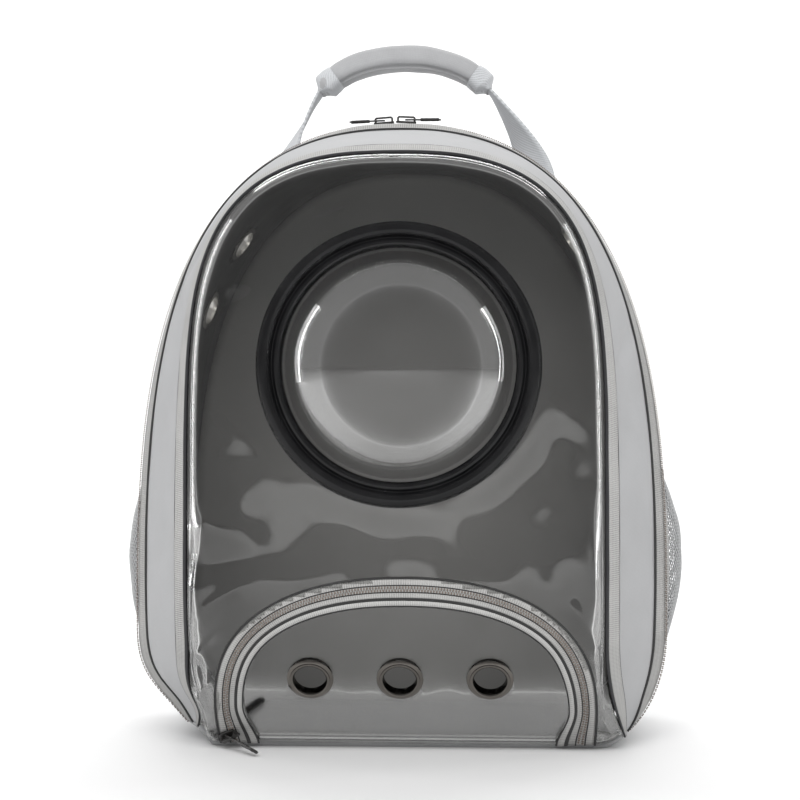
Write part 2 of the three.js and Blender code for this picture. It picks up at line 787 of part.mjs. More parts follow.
function handleFrames() {
  const seat = skinPoint(indexAcross(handleHalfSpan), handleDepth, -clearance);
  const rise = handleTop - gripHeight / 2 - seat.z;
  const curve = new THREE.CatmullRomCurve3(handleRoute.map(({ across, height }) => (
    new THREE.Vector3(across * handleHalfSpan, handleDepth, seat.z + rise * height)
  )));
  const last = handleRoute.length - 1;
  return Array.from({ length: handleSteps + 1 }, (_, i) => {
    const share = i / handleSteps;
    const row = Math.min(Math.floor(share * last), last - 1);
    const turn = THREE.MathUtils.lerp(handleRoute[row].turn, handleRoute[row + 1].turn, share * last - row);
    const along = curve.getTangent(share);
    const wide = new THREE.Vector3(0, 1, 0).applyAxisAngle(along, THREE.MathUtils.degToRad(turn));
    return { place: curve.getPoint(share), along, wide, thick: along.clone().cross(wide) };
  });
}

function indexAcross(across) {
  let index = loopCount / 2;
  while (mix(zipLoop, index).x < Math.abs(across)) index -= 0.02;
  return across < 0 ? loopCount - index : index;
}

// The whole body as one block, a little larger than its walls, to trim what is sewn to them
function wallBlock() {
  const stops = Array.from({ length: loopCount }, (_, i) => i);
  const rails = [wallRail(0), wallRail(0.5), wallRail(1)];
  return stackOf(rails.map(rail => stops.map(index => rail(index, -clearance))));
}

function sectionAt({ place, wide, thick }, outline) {
  return outline.map(([w, t]) => place.clone().addScaledVector(wide, w).addScaledVector(thick, t));
}

function boxOutline(width, thickness) {
  const [w, t] = [width / 2, thickness / 2];
  return [[-w, -t], [w, -t], [w, t], [-w, t]];
}

// A rounded outline, squarer as the power falls
function ovalOutline(width, height, count, power = 0.8) {
  const soften = value => Math.sign(value) * Math.abs(value) ** power;
  return Array.from({ length: count }, (_, i) => {
    const angle = (i / count) * 2 * Math.PI;
    return [(width / 2) * soften(Math.cos(angle)), (height / 2) * soften(Math.sin(angle))];
  });
}

function addHandle() {
  const frames = handleFrames();
  const strap = boxOutline(handleWebbingWidth, webbingThickness);
  const webbing = stackOf(frames.map(frame => sectionAt(frame, strap)));
  add('handle_webbing', cut(webbing, wallBlock()), looks.webbing);

  const covered = frames.filter(({ place }) => Math.abs(place.x) <= gripHalfLength);
  const slot = ovalOutline(handleWebbingWidth + gripSlotAcross, webbingThickness + gripSlotHeight, gripSides, 0.3);
  const body = ovalOutline(gripWidth, gripHeight, gripSides);
  const grid = outline => covered.map(frame => sectionAt(frame, outline));
  add('handle_grip', wallBetween(grid(body), grid(slot), true), looks.padding);
}

// Side pockets: a net that stands off the wall, and an elastic band along its mouth

function pocketGrid(side, lift) {
  return Array.from({ length: pocketRows + 1 }, (_, row) => {
    const up = row / pocketRows;
    const height = THREE.MathUtils.lerp(pocketFloor, pocketMouth, up);
    const index = indexAtHeight(height, side);
    return Array.from({ length: pocketColumns + 1 }, (_, column) => {
      const back = column / pocketColumns;
      return pocketPoint(index, up, back, lift);
    });
  });
}

function pocketPoint(index, up, back, lift) {
  const depth = THREE.MathUtils.lerp(pocketFront, pocketRear, back);
  const level = Math.sin(Math.PI * Math.min(up * 0.84, 1)) ** 0.75;
  const bulge = pocketBulge * level * Math.sin(Math.PI * back) ** 0.6;
  return skinPoint(index, depth, -pocketSeat - bulge - lift);
}

function addPocket(side) {
  const net = wallBetween(pocketGrid(side, netThickness), pocketGrid(side, 0));
  add(`side_pocket_${side}`, net, looks.net);
  const band = lift => [clearance, clearance + pocketBandHeight].map(above => {
    const index = indexAtHeight(pocketMouth + above, side);
    return Array.from({ length: pocketColumns + 1 }, (_, column) => (
      pocketPoint(index, 1, column / pocketColumns, lift)
    ));
  });
  add(`pocket_band_${side}`, wallBetween(band(netThickness + 0.5), band(0)), looks.binding);
}

// Shoulder straps on the back: padded above, webbing below, with a keeper on each webbing

// Shares of the way down, of the spread from the middle, of the bow off the back panel and of the padded width
const strapRoute = [
  { down: 0, across: 0.494, bow: 0, width: 0.72 },
  { down: 0.14, across: 0.541, bow: 0.27, width: 0.84 },
  { down: 0.32, across: 0.612, bow: 0.84, width: 0.97 },
  { down: 0.5, across: 0.706, bow: 1, width: 1 },
  { down: 0.68, across: 0.8, bow: 1, width: 1 },
  { down: 0.86, across: 0.918, bow: 0.56, width: 0.91 },
  { down: 1, across: 1, bow: 0.06, width: 0.69 },
];

function addStraps() {
  const back = rearDepth + rearPanelProud;
  const padSeat = back + yokeThickness + 2 * clearance + strapThickness / 2;
  const spread = anchorAcross * strapSpreadShare;
  const padSides = 10;
  const yoke = new THREE.BoxGeometry(2 * yokeHalfWidth, yokeThickness, yokeHeight);
  yoke.translate(0, back + clearance + yokeThickness / 2, strapTop - yokeHeight / 2 + yokeAbove);
  add('strap_yoke', yoke, looks.webbing);

  ['left', 'right'].forEach((side, i) => {
    const sign = i === 0 ? -1 : 1;
    const place = ({ down, across, bow }) => new THREE.Vector3(
      sign * across * spread, padSeat + bow * strapBow, THREE.MathUtils.lerp(strapTop, strapBottom, down),
    );
    const padded = strapRoute.map(row => {
      const outline = ovalOutline(row.width * strapPadWidth, strapThickness, padSides);
      const wide = new THREE.Vector3(1, 0, 0);
      return sectionAt({ place: place(row), wide, thick: new THREE.Vector3(0, 1, 0) }, outline);
    });
    add(`shoulder_strap_${side}`, stackOf(padded), looks.padding);

    const top = place(strapRoute.at(-1));
    const start = new THREE.Vector3(top.x, top.y, strapBottom - clearance);
    const seat = back + clearance + webbingThickness / 2;
    const end = new THREE.Vector3(sign * anchorAcross, seat, anchorHeight);
    const bend = new THREE.Vector3(sign * (anchorAcross - anchorLean), seat, anchorHeight + anchorFlat);
    const along = bend.clone().sub(start).normalize();
    const level = new THREE.Vector3(1, 0, 0);
    const wide = new THREE.Vector3(-along.z, 0, along.x).normalize();
    const thick = new THREE.Vector3(0, 1, 0);
    const section = boxOutline(strapWebbingWidth, webbingThickness);
    const loops = [[start, level], [bend, wide], [end, wide]].map(([point, across]) => (
      sectionAt({ place: point, wide: across, thick }, section)
    ));
    add(`strap_webbing_${side}`, stackOf(loops), looks.webbing);

    const middle = start.clone().lerp(bend, keeperShare);
    const upright = along.clone().cross(wide).normalize();
    const frame = shift => ({ place: middle.clone().addScaledVector(along, shift), wide, thick: upright });
    const slot = boxOutline(strapWebbingWidth + keeperPlay, webbingThickness + keeperPlay);
    const shell = boxOutline(strapWebbingWidth + keeperWidthOver, webbingThickness + keeperHeightOver);
    const ends = [-keeperLength / 2, keeperLength / 2];
    const grid = outline => ends.map(shift => sectionAt(frame(shift), outline));
    add(`strap_adjuster_${side}`, wallBetween(grid(shell), grid(slot), true), looks.black);
  });
}

// Sliders with hinged pulls. Each is made with its zip along X and the cloth below, and is then set in place.

function sliderBody() {
  const plate = new THREE.Shape();
  const [long, wide] = [sliderLength / 2, sliderWidth / 2];
  plate.moveTo(-long, -wide * 0.7);
  plate.lineTo(-long * 0.4, -wide);
  plate.lineTo(long, -wide * 0.8);
  plate.lineTo(long, wide * 0.8);
  plate.lineTo(-long * 0.4, wide);
  plate.lineTo(-long, wide * 0.7);
  plate.closePath();
  const base = new THREE.ExtrudeGeometry(plate, { depth: sliderPlate, bevelEnabled: false });

  const arch = new THREE.Shape();
  const inner = sliderPlate + pullHeight + pullPin;
  const outer = inner + bridgeThickness;
  const reach = bridgeHalfLength;
  arch.moveTo(-reach, sliderPlate / 2);
  arch.lineTo(-reach, inner);
  arch.lineTo(-reach + bridgeThickness, outer);
  arch.lineTo(reach - bridgeThickness, outer);
  arch.lineTo(reach, inner);
  arch.lineTo(reach, sliderPlate / 2);
  arch.lineTo(reach - bridgeThickness, sliderPlate / 2);
  arch.lineTo(reach - bridgeThickness, inner);
  arch.lineTo(-reach + bridgeThickness, inner);
  arch.lineTo(-reach + bridgeThickness, sliderPlate / 2);
  arch.closePath();
  const bridge = new THREE.ExtrudeGeometry(arch, { depth: bridgeWidth, bevelEnabled: false });
  bridge.rotateX(Math.PI / 2);
  bridge.translate(0, bridgeWidth / 2, 0);
  return geometryOf(solidOf(base).add(solidOf(bridge)));
}

function pullTab(length, width) {
  const tab = new THREE.Shape();
  const half = width / 2;
  const pin = pullPin / 2;
  tab.moveTo(-pin, -half);
  tab.lineTo(length - half, -half);
  tab.absarc(length - half, 0, half, -Math.PI / 2, Math.PI / 2);
  tab.lineTo(-pin, half);
  tab.closePath();
  const eye = new THREE.Path();
  const eyeHalf = bridgeWidth / 2 + pullPlay;
  const eyeEnd = bridgeHalfLength + 2 * pullPlay;
  eye.moveTo(pin, -eyeHalf);
  eye.lineTo(eyeEnd, -eyeHalf);
  eye.lineTo(eyeEnd, eyeHalf);
  eye.lineTo(pin, eyeHalf);
  eye.closePath();
  tab.holes.push(eye);
  const geometry = new THREE.ExtrudeGeometry(tab, { depth: pullThickness, bevelEnabled: false, curveSegments: 5 });
  return geometry.translate(0, 0, -pullThickness / 2);
}

// A group whose X runs along a zip and whose Z stands off the cloth
function seatOn(place, along, normal) {
  const seat = new THREE.Group();
  const x = along.clone().addScaledVector(normal, -along.dot(normal)).normalize();
  const y = normal.clone().cross(x);
  seat.setRotationFromMatrix(new THREE.Matrix4().makeBasis(x, y, normal));
  seat.position.copy(place);
  bag.add(seat);
  return seat;
}

function addSlider(names, seat, tab, dip) {
  add(names.slider, sliderBody(), looks.black, seat);
  const pull = add(names.pull, tab, looks.black, seat);
  pull.position.z = sliderPlate + pullHeight;
  pull.rotation.y = THREE.MathUtils.degToRad(dip);
  return pull;
}

function addSliders() {
  const lift = coilLift + coilHeight + mainSliderGap;
  [['left', -1], ['right', 1]].forEach(([side, sign]) => {
    const across = sliderMeeting + sign * (sliderLength / 2 + clearance);
    const index = indexAcross(across);
    const normal = skinNormal(index, 0);
    const place = skinPoint(index, 0, 0).addScaledVector(normal, lift);
    const seat = seatOn(place, new THREE.Vector3(sign, 0, 0), normal);
    const names = { slider: `main_slider_${side}`, pull: `main_pull_${side}` };
    addSlider(names, seat, pullTab(mainPullLength, pullWidth), mainPullDip);
  });

  const foot = onSheet(doorAcross - doorHalfWidth + doorTapeWidth / 2, doorSliderHeight);
  const normal = sheetNormal(foot.x, foot.z);
  const place = foot.addScaledVector(normal, sheetThickness / 2 + clearance + coilHeight);
  const along = new THREE.Vector3(doorPullAcross, -1, -0.2);
  const seat = seatOn(place, along, normal);
  addSlider({ slider: 'door_slider', pull: 'door_pull' }, seat, pullTab(doorPullLength, doorPullWidth), doorPullDip);
}

addBody();
addSeams();
addFront();
addBubble();
addHandle();
addPocket('left');
addPocket('right');
addStraps();
addSliders();

// The origin is under the middle of the whole bag
const carrier = new THREE.Group();
carrier.add(bag);
carrier.updateMatrixWorld(true);
const extent = new THREE.Box3().setFromObject(carrier);
bag.position.set(-(extent.min.x + extent.max.x) / 2, -(extent.min.y + extent.max.y) / 2, 0);

export default carrier;
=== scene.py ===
import bisect
import json
import math

import bmesh
import bpy
from mathutils import Matrix, Vector, noise


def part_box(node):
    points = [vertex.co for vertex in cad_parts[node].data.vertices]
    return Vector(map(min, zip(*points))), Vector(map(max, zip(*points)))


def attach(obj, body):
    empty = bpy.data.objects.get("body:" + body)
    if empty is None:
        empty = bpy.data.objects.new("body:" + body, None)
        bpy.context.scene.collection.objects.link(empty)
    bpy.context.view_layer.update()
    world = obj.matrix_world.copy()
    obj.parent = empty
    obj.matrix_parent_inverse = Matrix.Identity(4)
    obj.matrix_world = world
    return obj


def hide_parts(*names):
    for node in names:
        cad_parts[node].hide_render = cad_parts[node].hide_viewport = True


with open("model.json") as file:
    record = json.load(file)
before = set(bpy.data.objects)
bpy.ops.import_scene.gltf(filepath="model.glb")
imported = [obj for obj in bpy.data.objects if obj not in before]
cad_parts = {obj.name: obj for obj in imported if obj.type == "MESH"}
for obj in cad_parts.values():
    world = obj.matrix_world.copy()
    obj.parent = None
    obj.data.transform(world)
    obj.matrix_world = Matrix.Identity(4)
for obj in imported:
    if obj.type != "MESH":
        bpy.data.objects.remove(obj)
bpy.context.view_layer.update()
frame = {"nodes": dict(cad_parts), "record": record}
print("frame loaded")

# Lengths in the piece dictionaries are millimetres. Depth runs back from the plane of the main zip.
millimetre = 0.001
zipPlane = -26.2418  # depth 0 in the frame

bag = {
    "height": 410, "halfWidth": 175, "shoulder": 75, "footCorner": 50, "sidePower": 2.3, "crownPower": 3,
    "rearDepth": 150, "rearEdge": 12, "sideTaper": 9, "topTaper": 9, "sag": 2.5,
    "footSteps": 2, "cornerSteps": 6, "archSteps": 13, "seam": 4.1,
}
window = {
    "halfWidth": 131.5, "top": 383, "sidePower": 2.6, "crownPower": 6.3, "forward": 80, "bellyStart": 115,
    "bellyDrop": 67, "edgeRoll": 10, "rollPower": 11, "cornerInset": 3.5,
    "dent": {"height": 128, "spread": 26, "power": 2.6},
}
halfTurn = bag["footSteps"] + bag["cornerSteps"] + bag["archSteps"]  # outline places: 0 at the foot, this at the crown
fullTurn = 2 * halfTurn


# Outlines seen from the front

def alongPath(points):
    reached = [0]
    for a, b in zip(points, points[1:]):
        reached.append(reached[-1] + (b - a).length)

    def at(share):
        target = min(max(share, 0), 1) * reached[-1]
        low = min(max(bisect.bisect_right(reached, target) - 1, 0), len(points) - 2)
        span = reached[low + 1] - reached[low]
        return points[low].lerp(points[low + 1], (target - reached[low]) / span if span else 0)

    at.length = reached[-1]
    return at


def arch(halfWidth, top, sidePower, crownPower):
    points = []
    for step in range(361):
        angle = math.radians(step / 4)
        across = halfWidth * max(math.cos(angle), 0) ** (2 / sidePower)
        rise = (top - bag["shoulder"]) * math.sin(angle) ** (2 / crownPower)
        points.append(Vector((across, bag["shoulder"] + rise)))
    return alongPath(points)


def bodyOutline(halfWidth, top):
    curve = arch(halfWidth, top, bag["sidePower"], bag["crownPower"])
    flat = halfWidth - bag["footCorner"]
    cornerEnd = bag["footSteps"] + bag["cornerSteps"]

    def at(place):
        if place <= bag["footSteps"]:
            return Vector((flat * place / bag["footSteps"], 0))
        if place <= cornerEnd:
            angle = (place - bag["footSteps"]) / bag["cornerSteps"] * math.pi / 2
            return Vector((flat + bag["footCorner"] * math.sin(angle), bag["shoulder"] * (1 - math.cos(angle))))
        return curve((place - cornerEnd) / bag["archSteps"])
    return at


def windowOutline():
    body = bodyOutline(bag["halfWidth"], bag["height"])
    curve = arch(window["halfWidth"], window["top"], window["sidePower"], window["crownPower"])
    cornerEnd = bag["footSteps"] + bag["cornerSteps"]
    flare = body(4)

    def at(place):
        here = body(min(place, cornerEnd))
        if place <= 4:
            return here - Vector((window["cornerInset"] * max(place - 3, 0), 0))
        if place <= cornerEnd:
            share = (bag["shoulder"] - here.y) / (bag["shoulder"] - flare.y)
            wide = flare.x - window["cornerInset"] - window["halfWidth"]
            return Vector((window["halfWidth"] + wide * share ** 2, here.y))
        return curve((place - cornerEnd) / bag["archSteps"])
    return at


def tabled(outline, steps=40):
    table = [outline(i / steps) for i in range(halfTurn * steps + 1)]
    table += [Vector((-p.x, p.y)) for p in reversed(table[:-1])]

    def at(place):
        spot = (place % fullTurn) * steps
        low = int(spot)
        return table[low].lerp(table[min(low + 1, len(table) - 1)], spot - low)
    return at


zipLine = tabled(bodyOutline(bag["halfWidth"], bag["height"]))
rearLine = tabled(bodyOutline(bag["halfWidth"] - bag["sideTaper"], bag["height"] - bag["topTaper"]))
windowLine = tabled(windowOutline())


def inwardAt(place):
    along = (zipLine(place + 0.5) - zipLine(place - 0.5)).normalized()
    return Vector((-along.y, along.x))


# Surfaces. Each gives a point in millimetres: across, depth from the zip, height.

def sheetDepth(x, z):
    radius = (window["bellyStart"] ** 2 + window["bellyDrop"] ** 2) / (2 * window["bellyDrop"])
    below = min(max(window["bellyStart"] - z, 0), window["bellyStart"])
    belly = radius - math.sqrt(radius ** 2 - below ** 2)
    rise = max(z - bag["shoulder"], 0) / (window["top"] - bag["shoulder"])
    edge = min((abs(x) / window["halfWidth"]) ** window["sidePower"] + rise ** window["crownPower"], 1)
    fade = min(max(z / bag["shoulder"], 0), 1)
    dent = window["dent"]
    slack = math.exp(-((z - dent["height"]) / dent["spread"]) ** 2) if x < 0 else 0
    power = lerp(window["rollPower"], dent["power"], slack)
    return belly - window["forward"] + window["edgeRoll"] * fade * edge ** power


def sheetNormal(x, z, step=0.5):
    slopeX = (sheetDepth(x + step, z) - sheetDepth(x - step, z)) / (2 * step)
    slopeZ = (sheetDepth(x, z + step) - sheetDepth(x, z - step)) / (2 * step)
    return Vector((slopeX, -1, slopeZ)).normalized()


def onSheet(x, z, lift=0.0):
    return Vector((x, sheetDepth(x, z), z)) + sheetNormal(x, z) * lift


def seamEnds(place):
    onZip, front, rear = zipLine(place), windowLine(place), rearLine(place)
    return (
        Vector((onZip.x, 0, onZip.y)),
        Vector((front.x, sheetDepth(front.x, front.y), front.y)),
        Vector((rear.x, bag["rearDepth"] - bag["rearEdge"], rear.y)),
    )


def skin(place, along, depth=0.0):
    onZip, front, rear = seamEnds(place)
    target = front if along < 0 else rear
    share = abs(along) / (target - onZip).length
    inward = inwardAt(place)
    fromFoot = min(place % fullTurn, fullTurn - place % fullTurn) - 4
    fullness = min(max(fromFoot / bag["cornerSteps"], 0), 1)
    move = depth - bag["sag"] * fullness * math.sin(math.pi * min(share, 1))
    return onZip.lerp(target, share) + Vector((inward.x * move, 0, inward.y * move))


def skinNormal(place, along):
    around = skin(place + 0.2, along) - skin(place - 0.2, along)
    back = skin(place, along + 1) - skin(place, along - 1)
    return -around.cross(back).normalized()


def gussetLength(place):
    onZip, front, _ = seamEnds(place)
    return (front - onZip).length


def wallLength(place):
    onZip, _, rear = seamEnds(place)
    return (rear - onZip).length


def rearRound(place, degrees, depth=0.0):
    angle = math.radians(degrees)
    inward = inwardAt(place)
    reach = bag["rearEdge"] - depth
    inset = bag["rearEdge"] - reach * math.cos(angle)
    rear = rearLine(place)
    back = bag["rearDepth"] - bag["rearEdge"] + reach * math.sin(angle)
    return Vector((rear.x + inward.x * inset, back, rear.y + inward.y * inset))


def placeAtHeight(height, side):
    place = 4.0
    while zipLine(place).y < height:
        place += 0.02
    return place if side > 0 else fullTurn - place


def placeAcross(x):
    place = float(halfTurn)
    while zipLine(place).x < abs(x):
        place -= 0.01
    return place if x >= 0 else fullTurn - place


def ripple(point, size, height, seed=0.0):
    spot = Vector(point) / size + Vector((seed, seed * 2.3, seed * 5.1))
    return height * noise.noise(spot)


def lerp(a, b, share):
    return a + (b - a) * share


def easeStep(a, b, value):
    share = min(max((value - a) / (b - a), 0), 1)
    return share * share * (3 - 2 * share)


tuck = {"from": 118, "to": 147, "height": 14, "spread": 27, "across": 16, "lift": 5, "rear": 45, "front": -30}


def inFrame(point):
    # Into the frame in metres. The lower left corner of the bag is tucked in, as soft cloth is.
    near = easeStep(tuck["from"], tuck["to"], -point.x) * easeStep(tuck["rear"], tuck["front"], point.y)
    near *= math.exp(-(max(point.z - tuck["height"], 0) / tuck["spread"]) ** 2)
    return Vector((point.x + tuck["across"] * near, point.y + zipPlane, point.z + tuck["lift"] * near)) * millimetre


# Making pieces

def gridPiece(columns, rows, placeAt, size, weld=False):
    # A grid of quads laid over placeAt(u, v), with its UV map in metres
    bm = bmesh.new()
    uvLayer = bm.loops.layers.uv.new("UVMap")
    bmesh.ops.create_grid(bm, x_segments=columns, y_segments=rows, size=0.5, calc_uvs=True)
    for face in bm.faces:
        for loop in face.loops:
            u, v = loop.vert.co.x + 0.5, loop.vert.co.y + 0.5
            loop[uvLayer].uv = (u * size[0] * millimetre, v * size[1] * millimetre)
    for vert in bm.verts:
        vert.co = inFrame(placeAt(vert.co.x + 0.5, vert.co.y + 0.5))
    if weld:
        bmesh.ops.remove_doubles(bm, verts=bm.verts, dist=0.00002)
    return bm


def closedPiece(bm):
    bmesh.ops.remove_doubles(bm, verts=bm.verts, dist=0.00002)
    bmesh.ops.recalc_face_normals(bm, faces=bm.faces)
    return bm


def turnedOut(bm, centre):
    # Makes the faces of an open sheet look away from a point of the bag
    middle = inFrame(Vector(centre))
    bm.normal_update()
    total = sum((face.calc_center_median() - middle).dot(face.normal) * face.calc_area() for face in bm.faces)
    if total < 0:
        bmesh.ops.reverse_faces(bm, faces=bm.faces)
    return bm


def finishPiece(name, bm, material, slot, replaces=(), body="carrier", sharp=None):
    mesh = bpy.data.meshes.new(name)
    bm.to_mesh(mesh)
    bm.free()
    piece = bpy.data.objects.new(name, mesh)
    bpy.context.collection.objects.link(piece)
    mesh.materials.append(material)
    mesh.shade_smooth()
    if sharp:
        mesh.set_sharp_from_angle(angle=math.radians(sharp))
    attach(piece, body)
    if replaces:
        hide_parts(*replaces)
    return piece


def thicken(piece, thickness, offset=-1.0):
    wall = piece.modifiers.new("thickness", "SOLIDIFY")
    wall.thickness = thickness * millimetre
    wall.offset = offset
    wall.use_even_offset = False
    wall.use_quality_normals = True
    return piece


def laidPiece(name, grid, within, finish, thickness, nodes=(), offset=-1.0):
    # An open sheet with a thickness, its outer face away from a point of the bag
    piece = finishPiece(name, turnedOut(gridPiece(*grid), within), *finish, nodes)
    return thicken(piece, thickness, offset)


def rounded(piece, width, segments=2, angle=30):
    bevel = piece.modifiers.new("edges", "BEVEL")
    bevel.width = width * millimetre
    bevel.segments = segments
    bevel.limit_method = "ANGLE"
    bevel.angle_limit = math.radians(angle)
    return piece


def pieceName(node):
    first, *rest = node.split("_")
    return first + "".join(word.title() for word in rest)


def nodeCopy(node, name, material, slot, body="carrier", width=0.3, swell=0.0):
    # A finer copy of a hard CAD part, with its edges rounded
    bm = bmesh.new()
    bm.from_mesh(frame["nodes"][node].data)
    bmesh.ops.remove_doubles(bm, verts=bm.verts, dist=0.00001)
    bmesh.ops.dissolve_limit(bm, angle_limit=math.radians(2), verts=bm.verts, edges=bm.edges)
    piece = finishPiece(name, bm, material, slot, [node], body, sharp=35)
    if swell:
        push = piece.modifiers.new("swell", "DISPLACE")
        push.strength = swell * millimetre
        push.mid_level = 0
    return rounded(piece, width)


def spun(profile, steps, origin, axis):
    # A turned ring from points of radius and height, about an axis through a point of the bag
    bm = bmesh.new()
    verts = [bm.verts.new((r * millimetre, 0, h * millimetre)) for r, h in profile]
    edges = [bm.edges.new(pair) for pair in zip(verts, verts[1:])]
    bmesh.ops.spin(
        bm, geom=verts + edges, cent=(0, 0, 0), axis=(0, 0, 1), dvec=(0, 0, 0),
        angle=math.tau, steps=steps, use_merge=True, use_duplicate=False,
    )
    closedPiece(bm)
    turn = Vector((0, 0, 1)).rotation_difference(axis).to_matrix().to_4x4()
    bmesh.ops.transform(bm, matrix=Matrix.Translation(inFrame(origin)) @ turn, verts=bm.verts)
    return bm


def repeated(unit, places):
    # Copies of one small shape, each set by a matrix
    whole = bmesh.new()
    for matrix in places:
        first = len(whole.verts)
        whole.from_mesh(unit)
        whole.verts.ensure_lookup_table()
        bmesh.ops.transform(whole, matrix=matrix, verts=whole.verts[first:])
    return whole


def standing(origin, along, normal):
    # X runs along, Z stands off the surface
    x = (along - normal * along.dot(normal)).normalized()
    y = normal.cross(x)
    turn = Matrix((x, y, normal)).transposed().to_4x4()
    return Matrix.Translation(inFrame(origin)) @ turn


# Finishes

def newMaterial(name, colour, roughness, **sockets):
    material = bpy.data.materials.new(name)
    material.use_nodes = True
    shader = material.node_tree.nodes["Principled BSDF"]
    shader.inputs["Base Color"].default_value = (*colour, 1)
    shader.inputs["Roughness"].default_value = roughness
    for socket, value in sockets.items():
        shader.inputs[socket.replace("_", " ")].default_value = value
    return material, material.node_tree, shader


def joined(tree, kind, inputs=(), **settings):
    node = tree.nodes.new(kind)
    for name, value in settings.items():
        setattr(node, name, value)
    for key, value in dict(inputs).items():
        if isinstance(value, bpy.types.NodeSocket):
            tree.links.new(value, node.inputs[key])
        else:
            node.inputs[key].default_value = value
    return node


def wave(tree, vector, direction, pitch, distortion=0.0):
    # Ribs at a pitch in millimetres
    node = joined(tree, "ShaderNodeTexWave", {
        "Vector": vector, "Scale": math.tau / (20 * pitch * millimetre), "Distortion": distortion,
    }, wave_type="BANDS", bands_direction=direction, wave_profile="SIN")
    return node.outputs["Fac"]


def cloud(tree, vector, size, detail=2.0):
    node = joined(tree, "ShaderNodeTexNoise", {
        "Vector": vector, "Scale": 1 / (size * millimetre), "Detail": detail, "Roughness": 0.5,
    })
    return node.outputs["Fac"]


def sums(tree, operation, a, b):
    return joined(tree, "ShaderNodeMath", {0: a, 1: b}, operation=operation).outputs[0]


def shaded(tree, factor, dark, light, low=0.0, high=1.0):
    ramp = joined(tree, "ShaderNodeValToRGB", {"Fac": factor})
    ramp.color_ramp.elements[0].position = low
    ramp.color_ramp.elements[0].color = (*dark, 1)
    ramp.color_ramp.elements[1].position = high
    ramp.color_ramp.elements[1].color = (*light, 1)
    return ramp.outputs["Color"]


def bumped(tree, shader, height, strength, depth):
    bump = joined(tree, "ShaderNodeBump", {
        "Height": height, "Strength": strength, "Distance": depth * millimetre,
    })
    tree.links.new(bump.outputs["Normal"], shader.inputs["Normal"])


def roughened(tree, shader, factor, low, high):
    rough = joined(tree, "ShaderNodeMapRange", {"Value": factor, "To Min": low, "To Max": high})
    tree.links.new(rough.outputs["Result"], shader.inputs["Roughness"])


def cloth(name, colour, roughness=0.75, thread=0.7, weave="plain", relief=0.12, vary=0.05, wear=25, show=0.2,
          **sockets):
    material, tree, shader = newMaterial(name, colour, roughness, **sockets)
    place = joined(tree, "ShaderNodeTexCoord")
    uv, solid = place.outputs["UV"], place.outputs["Object"]
    lengthwise = wave(tree, uv, "X", thread, 0.3)
    crosswise = wave(tree, uv, "Y", thread * (2.2 if weave == "ribbed" else 1), 0.3)
    if weave == "ribbed":
        height = sums(tree, "ADD", lengthwise, sums(tree, "MULTIPLY", crosswise, 0.25))
    elif weave == "twill":
        height = sums(tree, "MAXIMUM", wave(tree, uv, "DIAGONAL", thread, 0.2), sums(tree, "MULTIPLY", crosswise, 0.5))
    else:
        height = sums(tree, "MULTIPLY", lengthwise, crosswise)
    blotch = cloud(tree, solid, wear, 3)
    fleck = cloud(tree, solid, 1.6, 2)
    mixed = sums(tree, "ADD", sums(tree, "MULTIPLY", blotch, 0.6), sums(tree, "MULTIPLY", fleck, 0.2))
    mixed = sums(tree, "ADD", mixed, sums(tree, "MULTIPLY", height, show))
    dark = [c * (1 - vary * 1.6) for c in colour]
    light = [min(c * (1 + vary), 1) for c in colour]
    tree.links.new(shaded(tree, mixed, dark, light, 0.3, 0.75), shader.inputs["Base Color"])
    roughened(tree, shader, blotch, roughness - 0.08, roughness + 0.08)
    bumped(tree, shader, height, 0.6, relief)
    return material


def plastic(name, colour, roughness, speck=0.5, relief=0.02, scuff=0.06, **sockets):
    material, tree, shader = newMaterial(name, colour, roughness, **sockets)
    solid = joined(tree, "ShaderNodeTexCoord").outputs["Object"]
    grain = cloud(tree, solid, speck, 2)
    worn = cloud(tree, solid, 18, 4)
    light = [min(c * 1.25 + 0.004, 1) for c in colour]
    tree.links.new(shaded(tree, worn, colour, light, 0.4, 0.8), shader.inputs["Base Color"])
    roughened(tree, shader, worn, roughness, roughness + scuff)
    bumped(tree, shader, grain, 0.3, relief)
    return material


def clear(name, tint, gloss, waves, relief, strongest):
    # A thin clear sheet: it lets light straight through, with a gloss that grows at grazing angles
    material, tree, shader = newMaterial(name, (1, 1, 1), gloss, Metallic=1.0)
    solid = joined(tree, "ShaderNodeTexCoord").outputs["Object"]
    bumped(tree, shader, cloud(tree, solid, waves, 1.5), 0.5, relief)
    through = joined(tree, "ShaderNodeBsdfTransparent", {"Color": (*tint, 1)})
    facing = joined(tree, "ShaderNodeLayerWeight", {"Blend": 0.34}).outputs["Fresnel"]
    smear = cloud(tree, solid, 30, 3)
    share = sums(tree, "MULTIPLY", facing, sums(tree, "ADD", 0.62, sums(tree, "MULTIPLY", smear, 0.5)))
    mixer = joined(tree, "ShaderNodeMixShader", {
        0: joined(tree, "ShaderNodeClamp", {"Value": share, "Max": strongest}).outputs[0],
        1: through.outputs[0], 2: shader.outputs[0],
    })
    output = next(node for node in tree.nodes if node.type == "OUTPUT_MATERIAL")
    tree.links.new(mixer.outputs[0], output.inputs["Surface"])
    return material


